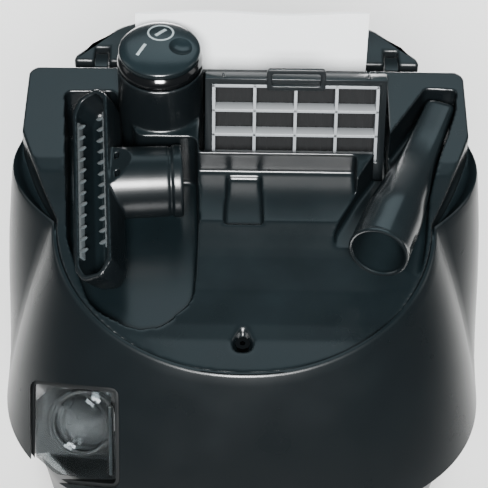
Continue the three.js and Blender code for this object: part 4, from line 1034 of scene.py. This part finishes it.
# %%
keep(bevelled(copied("socket_tray", "outlet_tray"), 0.5), "housing", "chassis_plastic",
     "socket_tray")
BASE = -46 + 2.5 + 0.3
cup = lathe("outlet_cup", [(0, 0), (22, 0), (22.5, 0.6), (22.5, 7), (21.8, 8), (20, 8), (19.5, 7.4),
                           (19.3, 3.4), (18.6, 3), (0, 3)], LOOKS["outlet_plastic"], 72)
holes = [moved(lathe("hole", [(0, 1), (2.5, 1), (2.5, 5), (0, 5)], None, 24), place(x, 0, 0))
         for x in (-9.5, 9.5)]
ridge = [block("key", (-3, 17.2, 2.8), (3, 19.6, 7.6)),
         block("key", (-3, -19.6, 2.8), (3, -17.2, 7.6))]
for key in ridge:
    moved(key, turned(62, "Z"))
join(cup, *ridge)
cut(cup, *holes)
OUTLET = (place(0, OUTLINE_SHIFT, 0) @ place(*SOCKET) @ turned(SOCKET_TILT, "X")
          @ place(5, 5.5, BASE))
keep(smooth(moved(cup, OUTLET), 35), "housing", "outlet_plastic", "power_outlet")
keep(bevelled(copied("socket_flap", "clear_lid"), 0.4), "flap", "clear_plastic", "socket_flap")
print("outlet", len(cup.data.polygons), "faces")

# %% [markdown]
# ## Carry handle
# A flat bow with a generous edge radius, pinned inside its two lugs.


# %%
def both_sides(half):
    return half + [(-x, y, r) for x, y, r in reversed(half)]


bow = prism("handle_bow",
            rounded(both_sides([(125, -5, 3), (123, 2, 8), (93, 33, 26), (63, 46, 40)]), 10),
            -6.5, 6.5, LOOKS["handle_plastic"])
hand_slot = prism("hand_slot", rounded(both_sides([(74, -8, 1), (74, 10, 10), (62, 24, 14)]), 10),
                  -9, 9)
rooms = [block("room", (x0, -10, -10), (x1, 10.5, 10))
         for x0, x1 in ((-109.6, -99.4), (99.4, 109.6))]
cut(bow, hand_slot, *rooms)
bow = bevelled(bow, 3.2, 4, 50)
moved(bow, place(0, 166 + OUTLINE_SHIFT, 410))
keep(bow, "handle", "handle_plastic", "carry_handle")
print("handle", len(bow.data.polygons), "faces")

# %% [markdown]
# ## Tank, port and grille
# The tank is a tapering strip with a bead below its rim. The smaller mouldings keep their packed
# shapes with their edges rounded.


# %%
def tank_row(half_width, front, rear, z):
    return [(x, y, z) for x, y in body_outline(half_width, front, rear)]


def tank_at(share, inset):
    z = 84 + (TANK_TOP - 84) * share
    ease = lambda low_value, high_value: low_value + (high_value - low_value) * share
    return tank_row(ease(128, 151) - inset, ease(-106, -126) + inset, ease(134, 146) - inset, z)


rows = [tank_row(122, -100, 128, TANK_FOOT), tank_row(126, -104, 132, 79),
        tank_row(127.6, -105.6, 133.6, 82)]
for k in range(19):
    share = k / 18
    bead = 1.2 if k in (15, 16) else 0.0
    rows.append(tank_at(share, -bead))
rows.append(tank_row(147.6, -122.6, 142.6, TANK_TOP))
rows += [tank_at(1 - k / 12, 4) for k in range(1, 13)]
rows.append(tank_row(122, -100, 128, 81))
tank = loft("tank_drum", rows, LOOKS["tank_plastic"])
port_hole = moved(lathe("port_hole", [(0, 0), (23.3, 0), (23.3, 160), (0, 160)], None, 48),
                  place(PORT_X, -60, PORT_Z) @ turned(90, "X"))
cut(tank, port_hole)
lug_blocks = []
for side in (-1, 1):
    for end in (-1, 1):
        y = 20 + end * 26.1
        x0, x1 = sorted((side * 145, side * 162))
        lug_blocks.append(block("lug", (x0, y - 3.5, 222), (x1, y + 3.5, 234)))
join(tank, *lug_blocks)
moved(tank, place(0, OUTLINE_SHIFT, 0))
keep(smooth(tank, 40), "housing", "tank_plastic", "tank")
for source, name, width, slot_name in (
        ("hose_port", "inlet_port", 0.8, "chassis_plastic"),
        ("chassis", "base_tray", 1.4, "chassis_plastic"),
        ("exhaust_grille", "rear_grille", 0.5, "chassis_plastic"),
        ("cable_gland", "lead_gland", 0.4, "chassis_plastic"),
        ("head_plate", "seal_plate", 0.8, "chassis_plastic")):
    keep(bevelled(copied(source, name), width), "housing", slot_name, source)
for label in ("left", "right"):
    keep(bevelled(copied("latch_" + label, "latch_lever_" + label), 1.0, 3), "clamp_" + label,
         "body_plastic", "latch_" + label)
    keep(bevelled(copied("castor_fork_" + label, "fork_" + label), 0.8), "castor_" + label,
         "chassis_plastic", "castor_fork_" + label)
print("tank", len(tank.data.polygons), "faces")

# %% [markdown]
# ## Wheels
# Tyres are turned round, with tread blocks repeated by the ring group.

# %%
for side, label in ((-1, "left"), (1, "right")):
    centre = place(side * 162, 110, 55) @ turned(90, "Y")
    tyre = lathe("tyre", [(43.2, -10.5), (50, -12), (53, -10.6), (53.9, -8), (53.9, 8), (53, 10.6),
                          (50, 12), (43.2, 10.5)], LOOKS["tyre_rubber"], 120, closed=True)
    tread = block("tread", (-1.2, -1.1, -9), (0.9, 1.1, 9), LOOKS["tyre_rubber"])
    blocks = repeated(RING, "treads", tread, LOOKS["tyre_rubber"], 60, radius=54.0)
    whole = bevelled(merged("tyre_" + label, tyre, blocks), 0.3)
    keep(moved(whole, centre), "wheel_" + label, "tyre_rubber", "rear_tyre_" + label)
    keep(bevelled(copied("rear_hub_" + label, "hub_" + label), 0.8), "wheel_" + label,
         "hub_plastic", "rear_hub_" + label)
    roller = lathe("roller_" + label, [(3.2, -8.5), (17, -8.5), (20.6, -7), (22, -4), (22, 4),
                                       (20.6, 7), (17, 8.5), (3.2, 8.5)],
                   LOOKS["tyre_rubber"], 72, closed=True)
    moved(roller, place(side * 92, -104, 22) @ turned(90, "Y"))
    keep(smooth(roller, 40), "roller_" + label, "tyre_rubber", "castor_wheel_" + label)
print("wheels done")

# %% [markdown]
# ## Floor and finish
# A pale floor under the wheels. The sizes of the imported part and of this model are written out.

# %%
FLOOR_HALF = 4000
floor = make_object("floor", [(x * FLOOR_HALF, y * FLOOR_HALF, 0) for x, y in
                              ((-1, -1), (1, -1), (1, 1), (-1, 1))],
                    [(0, 1, 2, 3)], moulded("studio_floor", "#f2f2f0", "#f5f5f3", 0.7, 3.0, 0.0))
